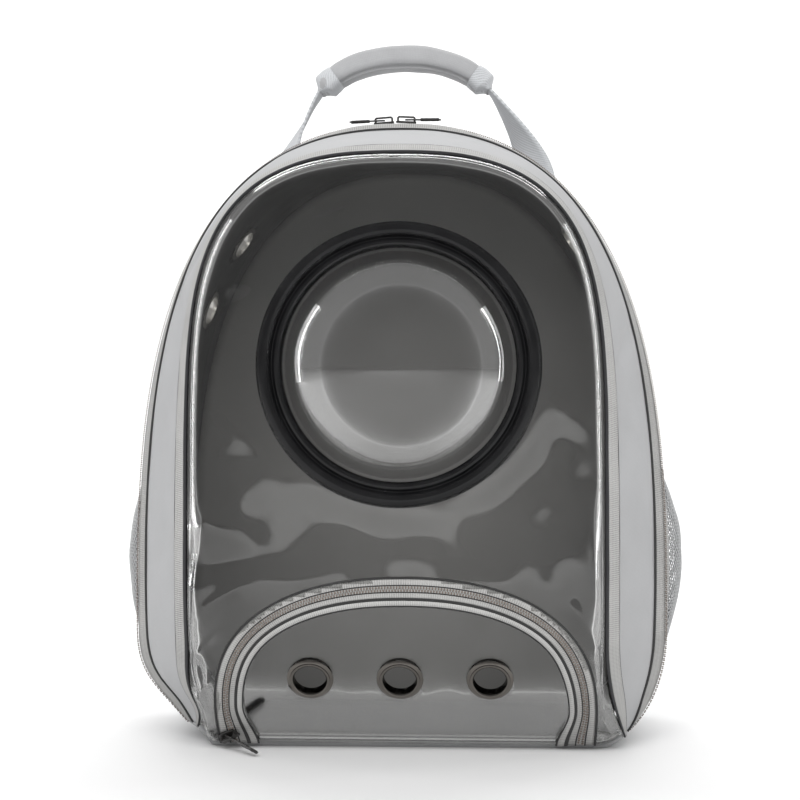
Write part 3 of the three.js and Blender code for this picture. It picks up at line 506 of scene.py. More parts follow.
shellCloth = cloth("shellCloth", (0.365, 0.367, 0.374), 0.6, 0.9, "ribbed", 0.05, 0.05, Sheen_Weight=0.1)
tapeCloth = cloth("tapeCloth", (0.36, 0.357, 0.35), 0.8, 1.5, "ribbed", 0.35, 0.22, show=0.5)
zipCloth = cloth("zipCloth", (0.33, 0.327, 0.32), 0.82, 1.5, "ribbed", 0.3, 0.2, show=0.5)
padCloth = cloth("padCloth", (0.38, 0.382, 0.39), 0.8, 1.1, relief=0.12, vary=0.08, Sheen_Weight=0.1)
webCloth = cloth("webCloth", (0.45, 0.46, 0.475), 0.7, 1.3, "twill", 0.25, 0.15, show=0.5, Sheen_Weight=0.1)
netThread = cloth("netThread", (0.48, 0.485, 0.49), 0.6, 0.4, relief=0.05)
sideCloth = cloth("sideCloth", (0.04, 0.04, 0.04), 0.5, 0.6, relief=0.03, vary=0.05)
backCloth = cloth("backCloth", (0.2, 0.197, 0.192), 0.75, 0.7, relief=0.015, vary=0.05, wear=70)
matCloth = cloth("matCloth", (0.08, 0.079, 0.077), 0.75, 1.2, relief=0.08, vary=0.06)
# Near black, for the band round the edge of the clear sheet: it paints the shade along that edge
blackEdge = cloth("blackEdge", (0.02, 0.02, 0.022), 0.55, 0.8, relief=0.05)
# Near black, for thin strips along the seams and the door's bands: painted shade in the gaps between parts
shadeLineCloth = cloth("shadeLineCloth", (0.03, 0.03, 0.03), 0.8, 0.8, "ribbed", 0.1)
coilNylon = plastic("coilNylon", (0.17, 0.14, 0.12), 0.4, 0.8, 0.02)
ringPlastic = plastic("ringPlastic", (0.004, 0.004, 0.0045), 0.2, 0.6, 0.01, 0.1, Specular_IOR_Level=0.3)
blackPlastic = plastic("blackPlastic", (0.015, 0.015, 0.016), 0.35, 0.6, 0.03)
sliderPaint = plastic("sliderPaint", (0.02, 0.019, 0.018), 0.3, 0.8, 0.02, 0.15)
eyeletMetal = plastic("eyeletMetal", (0.13, 0.12, 0.11), 0.16, 0.9, 0.01, 0.1, Metallic=1.0)
# A lighter copy of the eyelet metal for the side eyelets: painted highlight, so they show lit against the dark wall
litEyeletMetal = plastic("litEyeletMetal", (0.5, 0.49, 0.47), 0.18, 0.9, 0.01, 0.1, Metallic=1.0)
clearSheet = clear("clearSheet", (0.95, 0.95, 0.945), 0.04, 60, 0.25, 0.7)
clearDome = clear("clearDome", (0.985, 0.985, 0.985), 0.03, 60, 0.1, 0.42)
print("finishes made")


# Body of the bag

# The width and proud height of the black band at the sheet's edge are for a band of painted shade, not a cord
shell = {
    "columns": 260, "wall": 2, "tapeHalf": 10, "tapeFront": 17, "tapeThickness": 1.2, "pipingWidth": 3,
    "pipingProud": 2.2, "bindingWidth": 12, "footShare": 0.5, "gap": 0.3, "lining": 1, "base": 3, "crest": 1.6,
    "middle": (0, 20, 200), "puff": (48, 2.0), "wrinkle": (17, 0.5), "creaseGain": 1.6,
    "creases": [  # height, side, depth, width, slant
        (318, -1, 1.6, 5, 0.5), (289, -1, 1.1, 7, -0.4), (206, -1, 0.8, 12, 0.3),
        (262, 1, 1.5, 6, -0.5), (232, 1, 1.1, 9, 0.4), (120, 1, 0.9, 14, -0.2), (130, -1, 0.8, 14, 0.3),
    ],
}
vent = {"depth": 105, "heights": {"lower": 299, "upper": 348}, "cut": 12.2, "proud": 1.65}
archFrom, archTo = bag["seam"], fullTurn - bag["seam"]
archLength = 1150


def ventSpots():
    for side, sign in (("left", -1), ("right", 1)):
        for level, height in vent["heights"].items():
            place = placeAtHeight(height, sign)
            yield side, level, skin(place, vent["depth"], vent["proud"]), skinNormal(place, vent["depth"])


def ventilated(bm):
    # Cuts the round holes behind the side eyelets
    radius = vent["cut"] * millimetre
    bm.verts.ensure_lookup_table()
    for _, _, origin, normal in ventSpots():
        middle = inFrame(origin)
        near = [v for v in bm.verts if (v.co - middle).length < 2.2 * radius and not v.is_boundary]
        ring = set(near)

        def fromAxis(vert):
            off = vert.co - middle
            return off - normal * off.dot(normal)
        inside = [v for v in near if fromAxis(v).length < radius]
        rim = {e.other_vert(v) for v in inside for e in v.link_edges} - set(inside)
        bmesh.ops.delete(bm, geom=inside, context="VERTS")
        for vert in rim & ring:
            off = fromAxis(vert)
            vert.co += off.normalized() * (radius - off.length)
    return bm


def creaseDepth(point, v):
    total = 0.0
    for height, side, depth, width, slant in shell["creases"]:
        if point.x * side > 0:
            off = point.z - height + slant * (v - 0.5) * 60
            total += shell["creaseGain"] * depth * math.exp(-(off / width) ** 2) * math.sin(math.pi * v)
    return total


def softSkin(place, along, v, amount=1.0, seed=0.0):
    spot = skin(place, along)
    puff = ripple(spot, *shell["puff"], seed) + ripple(spot, *shell["wrinkle"], seed + 3)
    held = math.sin(math.pi * v) ** 0.6
    return skin(place, along, (puff * held + creaseDepth(spot, v)) * amount)


def bandShare(place):
    # The bands narrow where the gusset is short, down at the foot
    return lerp(shell["footShare"], 1, easeStep(28, 62, gussetLength(place)))


def bindingEnd(place):
    return shell["pipingWidth"] + shell["bindingWidth"] * bandShare(place) + shell["gap"] - gussetLength(place)


def tapeStart(place):
    return -shell["tapeFront"] * bandShare(place)


def gussetAt(u, v):
    place = lerp(archFrom, archTo, u)
    return softSkin(place, lerp(bindingEnd(place) + shell["gap"], tapeStart(place) - shell["gap"], v), v)


def wallAt(u, v):
    place = lerp(archFrom, archTo, u)
    start = shell["tapeHalf"] + shell["gap"]
    flat = 0.9
    if v <= flat:
        return softSkin(place, lerp(start, wallLength(place), v / flat), v / flat, 0.9, 7)
    return rearRound(place, 90 * (v - flat) / (1 - flat))


def bandAt(inner, width, proud, seat=0.0):
    # A band on the front seam, from a distance behind the edge of the clear sheet
    def at(u, v):
        place = lerp(archFrom, archTo, u)
        along = min(inner + width(place) * v - gussetLength(place), 0)
        crown = seat + proud * math.sin(math.pi * lerp(0.08, 0.92, v)) ** 0.5
        return skin(place, along, -crown + ripple(skin(place, along), 30, 0.25))
    return at


def tapeAt(u, v):
    place = lerp(archFrom, archTo, u)
    roll = 0.9 + shell["crest"] * easeStep(60, 25, abs(zipLine(place).x)) * easeStep(200, 380, zipLine(place).y)
    swell = roll * math.exp(-((v - 0.36) / 0.13) ** 2) + 0.7 * math.exp(-((v - 0.86) / 0.12) ** 2)
    return skin(place, lerp(tapeStart(place), shell["tapeHalf"], v), -swell)


def seamAtBinding(u, v):
    place = lerp(archFrom, archTo, u)
    return skin(place, min(bindingEnd(place) + 1.6 * (v - 0.5), 0), -1.0 * math.sin(math.pi * v) - 0.3)


def seamAtTape(u, v):
    place = lerp(archFrom, archTo, u)
    return skin(place, tapeStart(place) - 0.15 + 2.4 * (v - 0.5), -0.9 * math.sin(math.pi * v) - 0.3)


def seamAtWall(u, v):
    place = lerp(archFrom, archTo, u)
    return skin(place, shell["tapeHalf"] + 0.15 + 1.4 * (v - 0.5), -0.5 * math.sin(math.pi * v) - 0.15)


def floorAt(u, v):
    # Inside of the foot, from the front seam to the back
    place = lerp(fullTurn - 5.4, fullTurn + 5.4, u)
    edge = windowLine(place)
    inward = inwardAt(place)
    lift = Vector((inward.x, 0, inward.y)) * 3.7
    lift.z += 4.5 * easeStep(0.9, 1, v) + 0.4 * math.sin(math.pi * v)  # curls up at the back
    start, end = onSheet(edge.x, edge.y), skin(place, wallLength(place)) + Vector((0, 6, 0))
    return start.lerp(end, lerp(0.02, 1, v)) + lift


def makeShell():
    columns, within = shell["columns"], shell["middle"]
    fabric, ribbon, black = (shellCloth, "shell_fabric"), (tapeCloth, "binding_tape"), "black_plastic"
    grid = (columns, 14, gussetAt, (archLength, 90))
    laidPiece("frontGusset", grid, within, fabric, shell["wall"], ["front_gusset"])
    bm = ventilated(turnedOut(gridPiece(columns, 40, wallAt, (archLength, 150)), within))
    thicken(finishPiece("rearWall", bm, *fabric, ["rear_wall"]), shell["wall"])
    # A black band round the edge of the clear sheet: painted shade where the sheet meets its binding
    piping = bandAt(0.2, lambda place: shell["pipingWidth"] - 0.4, shell["pipingProud"])
    grid = (columns, 8, piping, (archLength, 6))
    laidPiece("windowEdgeShade", grid, within, (blackEdge, black), 1.2, ["window_piping"])
    binding = bandAt(shell["pipingWidth"], lambda place: shell["bindingWidth"] * bandShare(place), 1.5, 0.5)
    grid = (columns, 10, binding, (archLength, 12))
    laidPiece("windowBinding", grid, within, ribbon, 1.8, ["window_binding"])
    # Thin dark strips along the seams of the gusset, the bands and the wall: painted shade in the gaps
    lines = {"seamShadeFront": seamAtBinding, "seamShadeRear": seamAtTape, "seamShadeWall": seamAtWall}
    for name, line in lines.items():
        laidPiece(name, (columns, 3, line, (archLength, 1)), within, (shadeLineCloth, black), 0.5)
    grid = (columns, 18, tapeAt, (archLength, 27))
    laidPiece("mainZipTape", grid, within, (zipCloth, "binding_tape"), shell["tapeThickness"], ["main_zip_tape"])


def baseAt(u, v):
    place = lerp(fullTurn - 4, fullTurn + 4, u)
    front, rear = 0.3, 0.88
    if v <= front:
        edge = windowLine(place)
        start = onSheet(edge.x, edge.y)
        return start.lerp(skin(place, 0), v / front)
    if v <= rear:
        return skin(place, wallLength(place) * (v - front) / (rear - front))
    return rearRound(place, 90 * (v - rear) / (1 - rear))


def liningAt(u, v):
    place = lerp(5, fullTurn - 5, u)
    start, flat = bindingEnd(place) + shell["gap"] - shell["bindingWidth"] / 2, 0.93
    if v > flat:
        return rearRound(place, 62 * (v - flat) / (1 - flat), 2.5)
    v /= flat
    along = lerp(start, wallLength(place), v)
    spot = skin(place, along)
    wave = (ripple(spot, 38, 1.6, 11) + 1.0 + ripple(spot, 14, 0.4, 5)) * math.sin(math.pi * v) ** 0.5
    return skin(place, along, 2.5 + max(wave, 0))


def backAt(inset, depth, crown, seed):
    # The arch of the back, from its rim in to a line up the middle
    def at(u, v):
        place = u * fullTurn
        rim, inward = rearLine(place), inwardAt(place)
        edge = Vector((rim.x + inward.x * inset, rim.y + inward.y * inset))
        spine = Vector((0, lerp(120, 290, (edge.y - inset) / 390)))
        spot = edge.lerp(spine, v)
        puff = crown(v, spot) + ripple((spot.x, seed, spot.y), 60, 1.2, seed) * math.sin(math.pi * min(v * 2, 1) / 2)
        return Vector((spot.x, depth + puff, spot.y))
    return at


padding = {
    "inset": 12.4, "depth": 150.5, "swell": 11, "channels": (38, 96), "rows": (128, 236), "grooveWidth": 2.2,
    "grooveDepth": 3.2,
}


def padCrown(v, spot):
    def pressed(offsets):
        return sum(math.exp(-(off / padding["grooveWidth"]) ** 2) for off in offsets) * easeStep(0.1, 0.2, v)
    channel = pressed(abs(spot.x) - line for line in padding["channels"])
    row = pressed(spot.y - line for line in padding["rows"])
    return padding["swell"] * easeStep(0, 0.12, v) ** 0.5 - padding["grooveDepth"] * min(channel + row, 1)


def makeInside():
    grid = (60, 40, baseAt, (320, 230))
    laidPiece("basePanel", grid, (0, 40, 80), (shellCloth, "shell_fabric"), shell["base"], ["base_panel"])
    bm = ventilated(turnedOut(gridPiece(240, 44, liningAt, (1080, 210)), shell["middle"]))
    side = thicken(finishPiece("sideLining", bm, sideCloth, "lining_fabric", ["wall_lining"]), shell["lining"])

    grid = (80, 20, floorAt, (380, 200))
    floor = laidPiece("floorLining", grid, (0, 40, 90), (matCloth, "backing_fabric"), 0.6, offset=1)

    lining = backAt(7.5, 145.6, lambda v, spot: -1.0 * easeStep(0, 0.3, v), 21)
    bm = gridPiece(168, 22, lining, (1080, 170), weld=True)
    bmesh.ops.recalc_face_normals(bm, faces=bm.faces)
    back = thicken(finishPiece("backLining", bm, backCloth, "backing_fabric", ["back_lining"]), 1.2, 0)

    bm = gridPiece(210, 44, backAt(padding["inset"], padding["depth"], padCrown, 9), (1080, 170), weld=True)
    bm.normal_update()
    if sum(face.normal.y for face in bm.faces) < 0:
        bmesh.ops.reverse_faces(bm, faces=bm.faces)
    pad = thicken(finishPiece("backPad", bm, padCloth, "padded_fabric", ["back_panel"]), 3)

    bm = bmesh.new()
    bmesh.ops.create_cube(bm, size=1)
    bmesh.ops.subdivide_edges(bm, edges=bm.edges, cuts=7, use_grid_fill=True)
    low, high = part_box("base_mat")
    spread = Vector([b - a for a, b in zip(low, high)])
    middle = (Vector(low) + Vector(high)) / 2
    for vert in bm.verts:
        vert.co = middle + Vector([c * s for c, s in zip(vert.co, spread)])
    mat = finishPiece("floorMat", bm, matCloth, "backing_fabric", ["base_mat"])
    rounded(mat, 1.4, 3, 60)


# Zip coils: a tooth from each side in turn

def toothUnit(along, across, high):
    bm = bmesh.new()
    bmesh.ops.create_cube(bm, size=1, matrix=Matrix.Diagonal((along, across, high, 1)))
    bmesh.ops.scale(bm, vec=(millimetre,) * 3, verts=bm.verts)
    bmesh.ops.bevel(
        bm, geom=bm.edges, offset=min(along, high) * 0.3 * millimetre, segments=1, profile=0.5, affect="EDGES",
        material=-1,
    )
    mesh = bpy.data.meshes.new("unit")
    bm.to_mesh(mesh)
    bm.free()
    return mesh


mainZip = {"pitch": 1.3, "tooth": (0.8, 3.3, 1.0), "overlap": 0.7, "lift": 0.95, "samples": 700}


def makeMainZip():
    unit, samples = toothUnit(*mainZip["tooth"]), mainZip["samples"]
    steps = [lerp(archFrom, archTo, i / samples) for i in range(samples + 1)]
    reached = [0.0]
    for a, b in zip(steps, steps[1:]):
        reached.append(reached[-1] + (skin(b, 0) - skin(a, 0)).length)
    matrices = []
    count = int(reached[-1] / mainZip["pitch"])
    for i in range(count):
        target = (i + 0.5) / count * reached[-1]
        low = min(bisect.bisect_right(reached, target), samples) - 1
        share = (target - reached[low]) / (reached[low + 1] - reached[low])
        place = lerp(steps[low], steps[low + 1], share)
        side = 1 if i % 2 else -1
        normal = skinNormal(place, 0.01)
        spot = skin(place, side * mainZip["overlap"]) + normal * mainZip["lift"]
        along = skin(place + 0.05, 0) - skin(place - 0.05, 0)
        matrices.append(standing(spot, along, normal))
    finishPiece("mainZipCoil", repeated(unit, matrices), coilNylon, "zip_coil", ["main_zip_coil"])


makeShell()
makeInside()
makeMainZip()
print("body, linings and main zip made")


# Clear front sheet and the zipped door in it

door = {
    "across": 5.5, "halfWidth": 122, "top": 116.4, "foot": 10, "sidePower": 2.2, "crownPower": 3.1, "floor": 4.2,
    "tape": 13, "binding": 4, "pitch": 0.95, "tooth": (1.0, 1.5, 1.0), "toothOff": 0.95, "flare": 0.42,
    "eyeletAcross": 3, "eyeletHeight": 52, "eyeletSpacing": 57,
}
eyelet = {"outer": 14.8, "hole": 10.4, "proud": 2.4, "back": 1.2, "paneHalf": 1.8, "wallHalf": 3.65}
bubble = {"across": 3, "height": 250, "outer": 89.5, "width": 16, "rise": 46, "collar": 5, "seat": 0.9}
sheetForm = {
    "thickness": 1.2, "columns": 150, "rows": 204, "hole": 80.5, "doorInset": 3.5,
    "slowDents": (62, 3.2), "smallDents": (24, 0.7),
    "folds": [  # from and to across and height, rise, width
        (-134, 22, -119, 6, 3.0, 3.0), (-134, 34, -118, 50, 2.6, 3.5), (-131, 62, -111, 86, 2.4, 4.5),
        (-130, 88, -96, 112, 1.8, 4.0), (-128, 96, -119, 156, 2.6, 6.0), (-126, 62, -120, 30, -2.0, 4.0),
        (140, 12, 124, 34, 2.6, 3.5), (133, 30, 123, 72, 2.2, 3.5), (130, 66, 112, 100, 2.2, 4.5),
        (127, 100, 121, 168, 1.6, 6.0), (135, 8, 118, 14, -2.0, 3.0),
    ],
}


def doorOutline():
    points = [Vector((door["across"] - door["halfWidth"], door["floor"]))]
    for step in range(361):
        angle = math.radians(180 - step / 2)
        turn = math.cos(angle)
        across = math.copysign(abs(turn) ** (2 / door["sidePower"]), turn)
        rise = (door["top"] - door["foot"]) * max(math.sin(angle), 0) ** (2 / door["crownPower"])
        points.append(Vector((door["across"] + door["halfWidth"] * across, door["foot"] + rise)))
    points.append(Vector((door["across"] + door["halfWidth"], door["floor"])))
    return alongPath(points)


doorPath = doorOutline()


def doorEdge(share, inset, lift=0.0):
    here = doorPath(share)
    before, after = doorPath(share - 0.004), doorPath(share + 0.004)
    along = (onSheet(after.x, after.y) - onSheet(before.x, before.y)).normalized()
    inward = along.cross(sheetNormal(here.x, here.y)).normalized()
    foot = 1 - easeStep(0, 0.075, min(share, 1 - share))
    spot = onSheet(here.x, here.y) + inward * (inset * (1 + door["flare"] * foot) if inset > 0 else inset)
    return onSheet(spot.x, max(spot.z, door["floor"] - 0.6), lift)


def foldHeight(x, z):
    # Creases pressed into the lower corners
    total = 0.0
    for x0, z0, x1, z1, rise, width in sheetForm["folds"]:
        run = Vector((x1 - x0, z1 - z0))
        off = Vector((x - x0, z - z0))
        share = off.dot(run) / run.length_squared
        away = (off - run * min(max(share, 0), 1)).length
        total += rise * math.exp(-(away / width) ** 1.4) * easeStep(-0.25, 0.2, share) * easeStep(1.25, 0.8, share)
    return total


def doorGap(x, z):
    across = abs(x - door["across"]) / door["halfWidth"]
    rise = max(z - door["foot"], 0) / (door["top"] - door["foot"])
    return (across ** door["sidePower"] + rise ** door["crownPower"] - 1) * door["halfWidth"] / door["sidePower"]


def sheetWave(x, z, gap):
    # Slow dents of a flexible sheet, held flat at the ring, the door and the seam
    rim = math.hypot(x - bubble["across"], z - bubble["height"]) - bubble["outer"]
    rise = max(z - bag["shoulder"], 0) / (window["top"] - bag["shoulder"])
    edge = (abs(x) / window["halfWidth"]) ** window["sidePower"] + rise ** window["crownPower"]
    held = easeStep(0, 22, rim) * easeStep(0, 0.35, 1 - min(edge, 1))
    dents = ripple((x, 0, z), *sheetForm["slowDents"], 2) + ripple((x, 0, z), *sheetForm["smallDents"], 6)
    side = math.exp(-((abs(x) - 112) / 12) ** 2 - ((z - 135) / 22) ** 2)
    crumple = foldHeight(x, z) * easeStep(0, 7, gap) * easeStep(0, 7, doorGap(x, z))
    return held * (dents + 2.6 * side) + crumple


def sheetRow(v):
    place = lerp(2.0, halfTurn, v)
    edge = windowLine(place)
    gap = 4.2 if place <= 4 else 0.3
    inward = inwardAt(place)
    upward = inward.y if place <= 4 else min(inward.y, 0)
    return max(edge.x + min(inward.x, 0) * gap, 0), edge.y + upward * gap


def sheetAt(u, v):
    wide, z = sheetRow(v)
    x = wide * math.sin(math.pi * (u - 0.5))
    return onSheet(x, z, sheetWave(x, z, wide - abs(x)))


def insideDoor(x, z, margin):
    # Whether a point lies inside the door's outline, by a margin
    across = abs(x - door["across"]) / (door["halfWidth"] - margin)
    rise = max(z - door["foot"], 0) / (door["top"] - door["foot"] - margin)
    return across ** door["sidePower"] + rise ** door["crownPower"] < 1


def makeSheet():
    bm = gridPiece(sheetForm["columns"], sheetForm["rows"], sheetAt, (300, 400))
    middle = inFrame(Vector((bubble["across"], -window["forward"], bubble["height"])))
    hole = sheetForm["hole"] * millimetre

    def place(vert):
        return vert.co.x / millimetre, vert.co.z / millimetre

    def inRing(vert):
        return math.hypot(vert.co.x - middle.x, vert.co.z - middle.z) < hole

    cut = [v for v in bm.verts if inRing(v) or insideDoor(*place(v), sheetForm["doorInset"])]
    bmesh.ops.delete(bm, geom=cut, context="VERTS")
    for vert in bm.verts:
        if not vert.is_boundary:
            continue
        off = Vector((vert.co.x - middle.x, 0, vert.co.z - middle.z))
        if off.length < hole + 0.006:
            vert.co.x, vert.co.z = middle.x + off.normalized().x * hole, middle.z + off.normalized().z * hole
    loose = [v for v in bm.verts if not v.link_faces]
    bmesh.ops.delete(bm, geom=loose, context="VERTS")
    bmesh.ops.triangulate(bm, faces=[f for f in bm.faces if any(v.is_boundary for v in f.verts)])
    turnedOut(bm, (0, 40, 200))
    sheet = finishPiece("frontSheet", bm, clearSheet, "clear_sheet", ["front_window"])
    thicken(sheet, sheetForm["thickness"], 0)


def doorBand(name, near, far, low, high, material, slot, nodes=(), crown=0.0):
    def at(u, v):
        inset = lerp(near, far, v)
        return doorEdge(u, inset, high + crown * math.sin(math.pi * v))
    grid = (150, 8, at, (doorPath.length, far - near))
    return laidPiece(name, grid, (0, 60, 60), (material, slot), high - low, nodes)


def paneAt(u, v):
    inset = door["tape"] + door["binding"] - 0.6
    left, right = doorEdge(v * 0.5, inset), doorEdge(1 - v * 0.5, inset)
    spot = left.lerp(right, u)
    held = math.sin(math.pi * u) * math.sin(math.pi * v)
    wave = (ripple((spot.x, 0, spot.z), 50, 1.8, 31) + ripple((spot.x, 0, spot.z), 18, 0.35, 33)) * held
    for step in (-1, 0, 1):
        across = door["eyeletAcross"] + step * door["eyeletSpacing"]
        wave *= easeStep(14, 26, math.hypot(spot.x - across, spot.z - door["eyeletHeight"]))
    return onSheet(spot.x, max(spot.z, door["floor"] - 0.6), wave)


def makeDoor():
    half = sheetForm["thickness"] / 2
    tape = door["tape"]
    doorBand("doorZipTape", 0, tape, -half, half + 0.3, zipCloth, "binding_tape", ["door_zip_tape"], 0.15)
    doorBand("doorBinding", tape + 0.3, tape + 0.3 + door["binding"], -half - 0.4, half + 0.6, tapeCloth,
             "binding_tape", ["door_binding"], 0.5)
    # Thin dark strips at the door's outer edge, beside its coil and between its bands: painted shade in the gaps
    lines = {"doorEdgeShade": (-1.1, 0.3, 0.9), "doorInnerLine": (tape - 0.9, tape + 0.9, 0.9),
             "doorPaneLine": (tape + door["binding"] - 0.1, tape + door["binding"] + 0.9, 0.8),
             "doorCoilLineOuter": (tape / 2 - 2.5, tape / 2 - 1.8, 0.6),
             "doorCoilLineInner": (tape / 2 + 1.8, tape / 2 + 2.5, 0.6)}
    for name, (near, far, proud) in lines.items():
        doorBand(name, near, far, half, half + proud, shadeLineCloth, "black_plastic", (), 0.15)

    unit = toothUnit(*door["tooth"])
    matrices = []
    count = int(doorPath.length * 0.99 / door["pitch"])
    for i in range(count):
        share = lerp(0.004, 0.996, (i + 0.5) / count)
        side = door["toothOff"] if i % 2 else -door["toothOff"]
        spot = doorEdge(share, tape / 2 + side, half + 1.0)
        along = doorEdge(share + 0.002, tape / 2) - doorEdge(share - 0.002, tape / 2)
        matrices.append(standing(spot, along, sheetNormal(spot.x, spot.z)))
    finishPiece("doorZipCoil", repeated(unit, matrices), coilNylon, "zip_coil", ["door_zip_coil"])

    bm = turnedOut(gridPiece(96, 48, paneAt, (205, 110)), (0, 60, 60))
    for step in (-1, 0, 1):
        spot = inFrame(onSheet(door["eyeletAcross"] + step * door["eyeletSpacing"], door["eyeletHeight"]))
        hole = (eyelet["hole"] + 1.4) * millimetre
        inside = [v for v in bm.verts if math.hypot(v.co.x - spot.x, v.co.z - spot.z) < hole]
        bmesh.ops.delete(bm, geom=inside, context="VERTS")
        for vert in bm.verts:
            off = Vector((vert.co.x - spot.x, 0, vert.co.z - spot.z))
            if vert.is_boundary and off.length < hole + 0.004:
                across = spot + off.normalized() * hole
                vert.co = inFrame(onSheet(across.x / millimetre, across.z / millimetre))
    pane = finishPiece("doorPane", bm, clearSheet, "clear_sheet", ["door_window"])
    thicken(pane, sheetForm["thickness"], 0)


def makeEyelet(name, node, origin, axis, half, metal=eyeletMetal):
    outer, hole = eyelet["outer"], eyelet["hole"]
    face = half + eyelet["proud"]
    profile = [
        (hole, -half - eyelet["back"]), (hole + 0.1, face - 1.2), (hole + 0.5, face - 0.45), (hole + 1.3, face),
        (hole + 2.4, face - 0.05), (outer - 1.9, face - 0.75), (outer - 0.5, face - 1.5), (outer, half + 0.45),
        (outer - 0.1, half), (hole + 1.2, half), (hole + 1.2, -half), (outer - 1.2, -half),
        (outer - 1, -half - 0.5), (outer - 1.6, -half - eyelet["back"]), (hole, -half - eyelet["back"]),
    ]
    bm = spun(profile, 64, origin, axis)
    return finishPiece(name, bm, metal, "eyelet_metal", [node], sharp=50)


def makeEyelets():
    for number in (1, 2, 3):
        across, height = door["eyeletAcross"] + (number - 2) * door["eyeletSpacing"], door["eyeletHeight"]
        normal = sheetNormal(across, height)
        name, node = f"doorEyelet{number}", f"door_eyelet_{number}"
        makeEyelet(name, node, onSheet(across, height), normal, eyelet["paneHalf"])
    # The side eyelets take the lighter copy of the metal: painted highlight
    for side, level, origin, normal in ventSpots():
        node = f"side_eyelet_{side}_{level}"
        makeEyelet(pieceName(node), node, origin, normal, eyelet["wallHalf"], litEyeletMetal)


# Bubble window

def makeBubble():
    origin = Vector((bubble["across"], -window["forward"], bubble["height"]))
    front = Vector((0, -1, 0))
    outer, seat = bubble["outer"], bubble["seat"]
    inner, top = outer - bubble["width"], seat + 9
    ring = [
        (inner, seat), (outer, seat), (outer + 0.1, seat + 3.2), (outer - 0.5, seat + 5.4), (outer - 1.6, seat + 7.2),
        (outer - 3.2, seat + 8.5), (outer - 5, top), (outer - 6.8, seat + 8.6), (outer - 8.3, seat + 7.4),
        (outer - 9.3, seat + 5.8), (outer - 9.7, seat + 4.6), (outer - 10.1, seat + 4.5), (inner + 5.2, seat + 5.2),
        (inner + 4.6, seat + 5.9), (inner + 3.4, seat + 6.5), (inner + 2.2, seat + 6.5), (inner + 0.9, seat + 5.9),
        (inner + 0.1, seat + 4.8), (inner, seat),
    ]
    bm = spun(ring, 144, origin, front)
    finishPiece("bubbleRing", bm, ringPlastic, "black_plastic", ["bubble_ring"], sharp=60)
    clamp = [
        (inner, -seat), (outer - 1.5, -seat), (outer - 1.7, -seat - 1.8), (outer - 2.6, -seat - 3),
        (inner + 1, -seat - 3), (inner, -seat - 2.2), (inner, -seat),
    ]
    bm = spun(clamp, 96, origin, front)
    finishPiece("bubbleClampRing", bm, ringPlastic, "black_plastic", ["bubble_clamp_ring"], sharp=40)

    radius, base = inner - 0.35, seat + 3
    sphere = (radius ** 2 + bubble["rise"] ** 2) / (2 * bubble["rise"])
    middle = base + bubble["rise"] - sphere

    def cap(reach, limit, steps=22):
        widest = math.asin(min(limit / reach, 1))
        return [(reach * math.sin(widest * i / steps), middle + reach * math.cos(widest * i / steps))
                for i in range(steps + 1)]

    wall = 1.8
    outside, inside = cap(sphere, radius), cap(sphere - wall, radius - wall)
    profile = outside + [(radius, -bubble["collar"]), (radius - wall, -bubble["collar"])] + inside[::-1]
    bm = spun(profile, 144, origin, front)
    finishPiece("bubbleDome", bm, clearDome, "clear_dome", ["bubble_dome"], sharp=40)


makeSheet()
makeDoor()
makeEyelets()
makeBubble()
print("clear front, door and bubble made")


# Top handle

handle = {
    "halfSpan": 87, "depth": 75, "top": 475, "width": 25, "thickness": 1.8, "gripHalf": 59, "gripWidth": 33,
    "gripHeight": 16.6, "squareness": 0.7, "bandShare": 0.13, "bandProud": 1.2, "bandThickness": 0.7,
    "route": [  # across and height as shares, turn of the webbing's width in degrees
        (-1.03, -0.14, 78), (-0.99, 0.02, 66), (-0.94, 0.16, 36), (-0.84, 0.4, 12), (-0.68, 0.71, 0),
        (-0.56, 0.84, 0), (-0.4, 0.93, 0), (-0.2, 0.985, 0), (0, 1, 0), (0.2, 0.985, 0), (0.4, 0.93, 0),
        (0.56, 0.84, 0), (0.68, 0.71, 0), (0.88, 0.4, -24), (1, 0.16, -52), (1.05, 0.02, -68), (1.08, -0.14, -78),
    ],
}


def smoothRow(rows, share):
    # A smooth value between the rows of a table
    spot = min(max(share, 0), 1) * (len(rows) - 1)
    low = min(int(spot), len(rows) - 2)
    t = spot - low
    a, b, c, d = (rows[min(max(low + k, 0), len(rows) - 1)] for k in (-1, 0, 1, 2))
    return [
        0.5 * (2 * q + (r - p) * t + (2 * p - 5 * q + 4 * r - s) * t ** 2 + (3 * q - p - 3 * r + s) * t ** 3)
        for p, q, r, s in zip(a, b, c, d)
    ]


handleSeat = skin(placeAcross(handle["halfSpan"]), handle["depth"], -0.3).z
handleRise = handle["top"] - 8.5 - handleSeat


def handleSpot(share):
    across, height, _ = smoothRow(handle["route"], share)
    return Vector((across * handle["halfSpan"], handle["depth"], handleSeat + handleRise * height))


def handleFrame(share):
    along = (handleSpot(share + 0.003) - handleSpot(share - 0.003)).normalized()
    turn = math.radians(smoothRow(handle["route"], share)[2])
    wide = Matrix.Rotation(turn, 3, along) @ Vector((0, 1, 0))
    return handleSpot(share), along, wide, along.cross(wide)


def handleWebAt(u, v):
    spot, _, wide, thick = handleFrame(u)
    point = spot + wide * ((v - 0.5) * handle["width"]) + thick * (0.5 * math.cos(math.tau * v))
    roof = skin(placeAcross(point.x), point.y, -1.0)
    return Vector((point.x, point.y, max(point.z, roof.z)))


def gripEnd(across):
    # Last of 400 steps along the webbing before a distance across
    return max(step for step in range(400) if handleSpot(step / 400).x < across) / 400


gripEnds = gripEnd(-handle["gripHalf"]), gripEnd(handle["gripHalf"])


def oval(angle, width, height, power):
    c, s = math.cos(angle), math.sin(angle)
    return (
        width / 2 * math.copysign(abs(c) ** power, c),
        height / 2 * math.copysign(abs(s) ** power, s),
    )


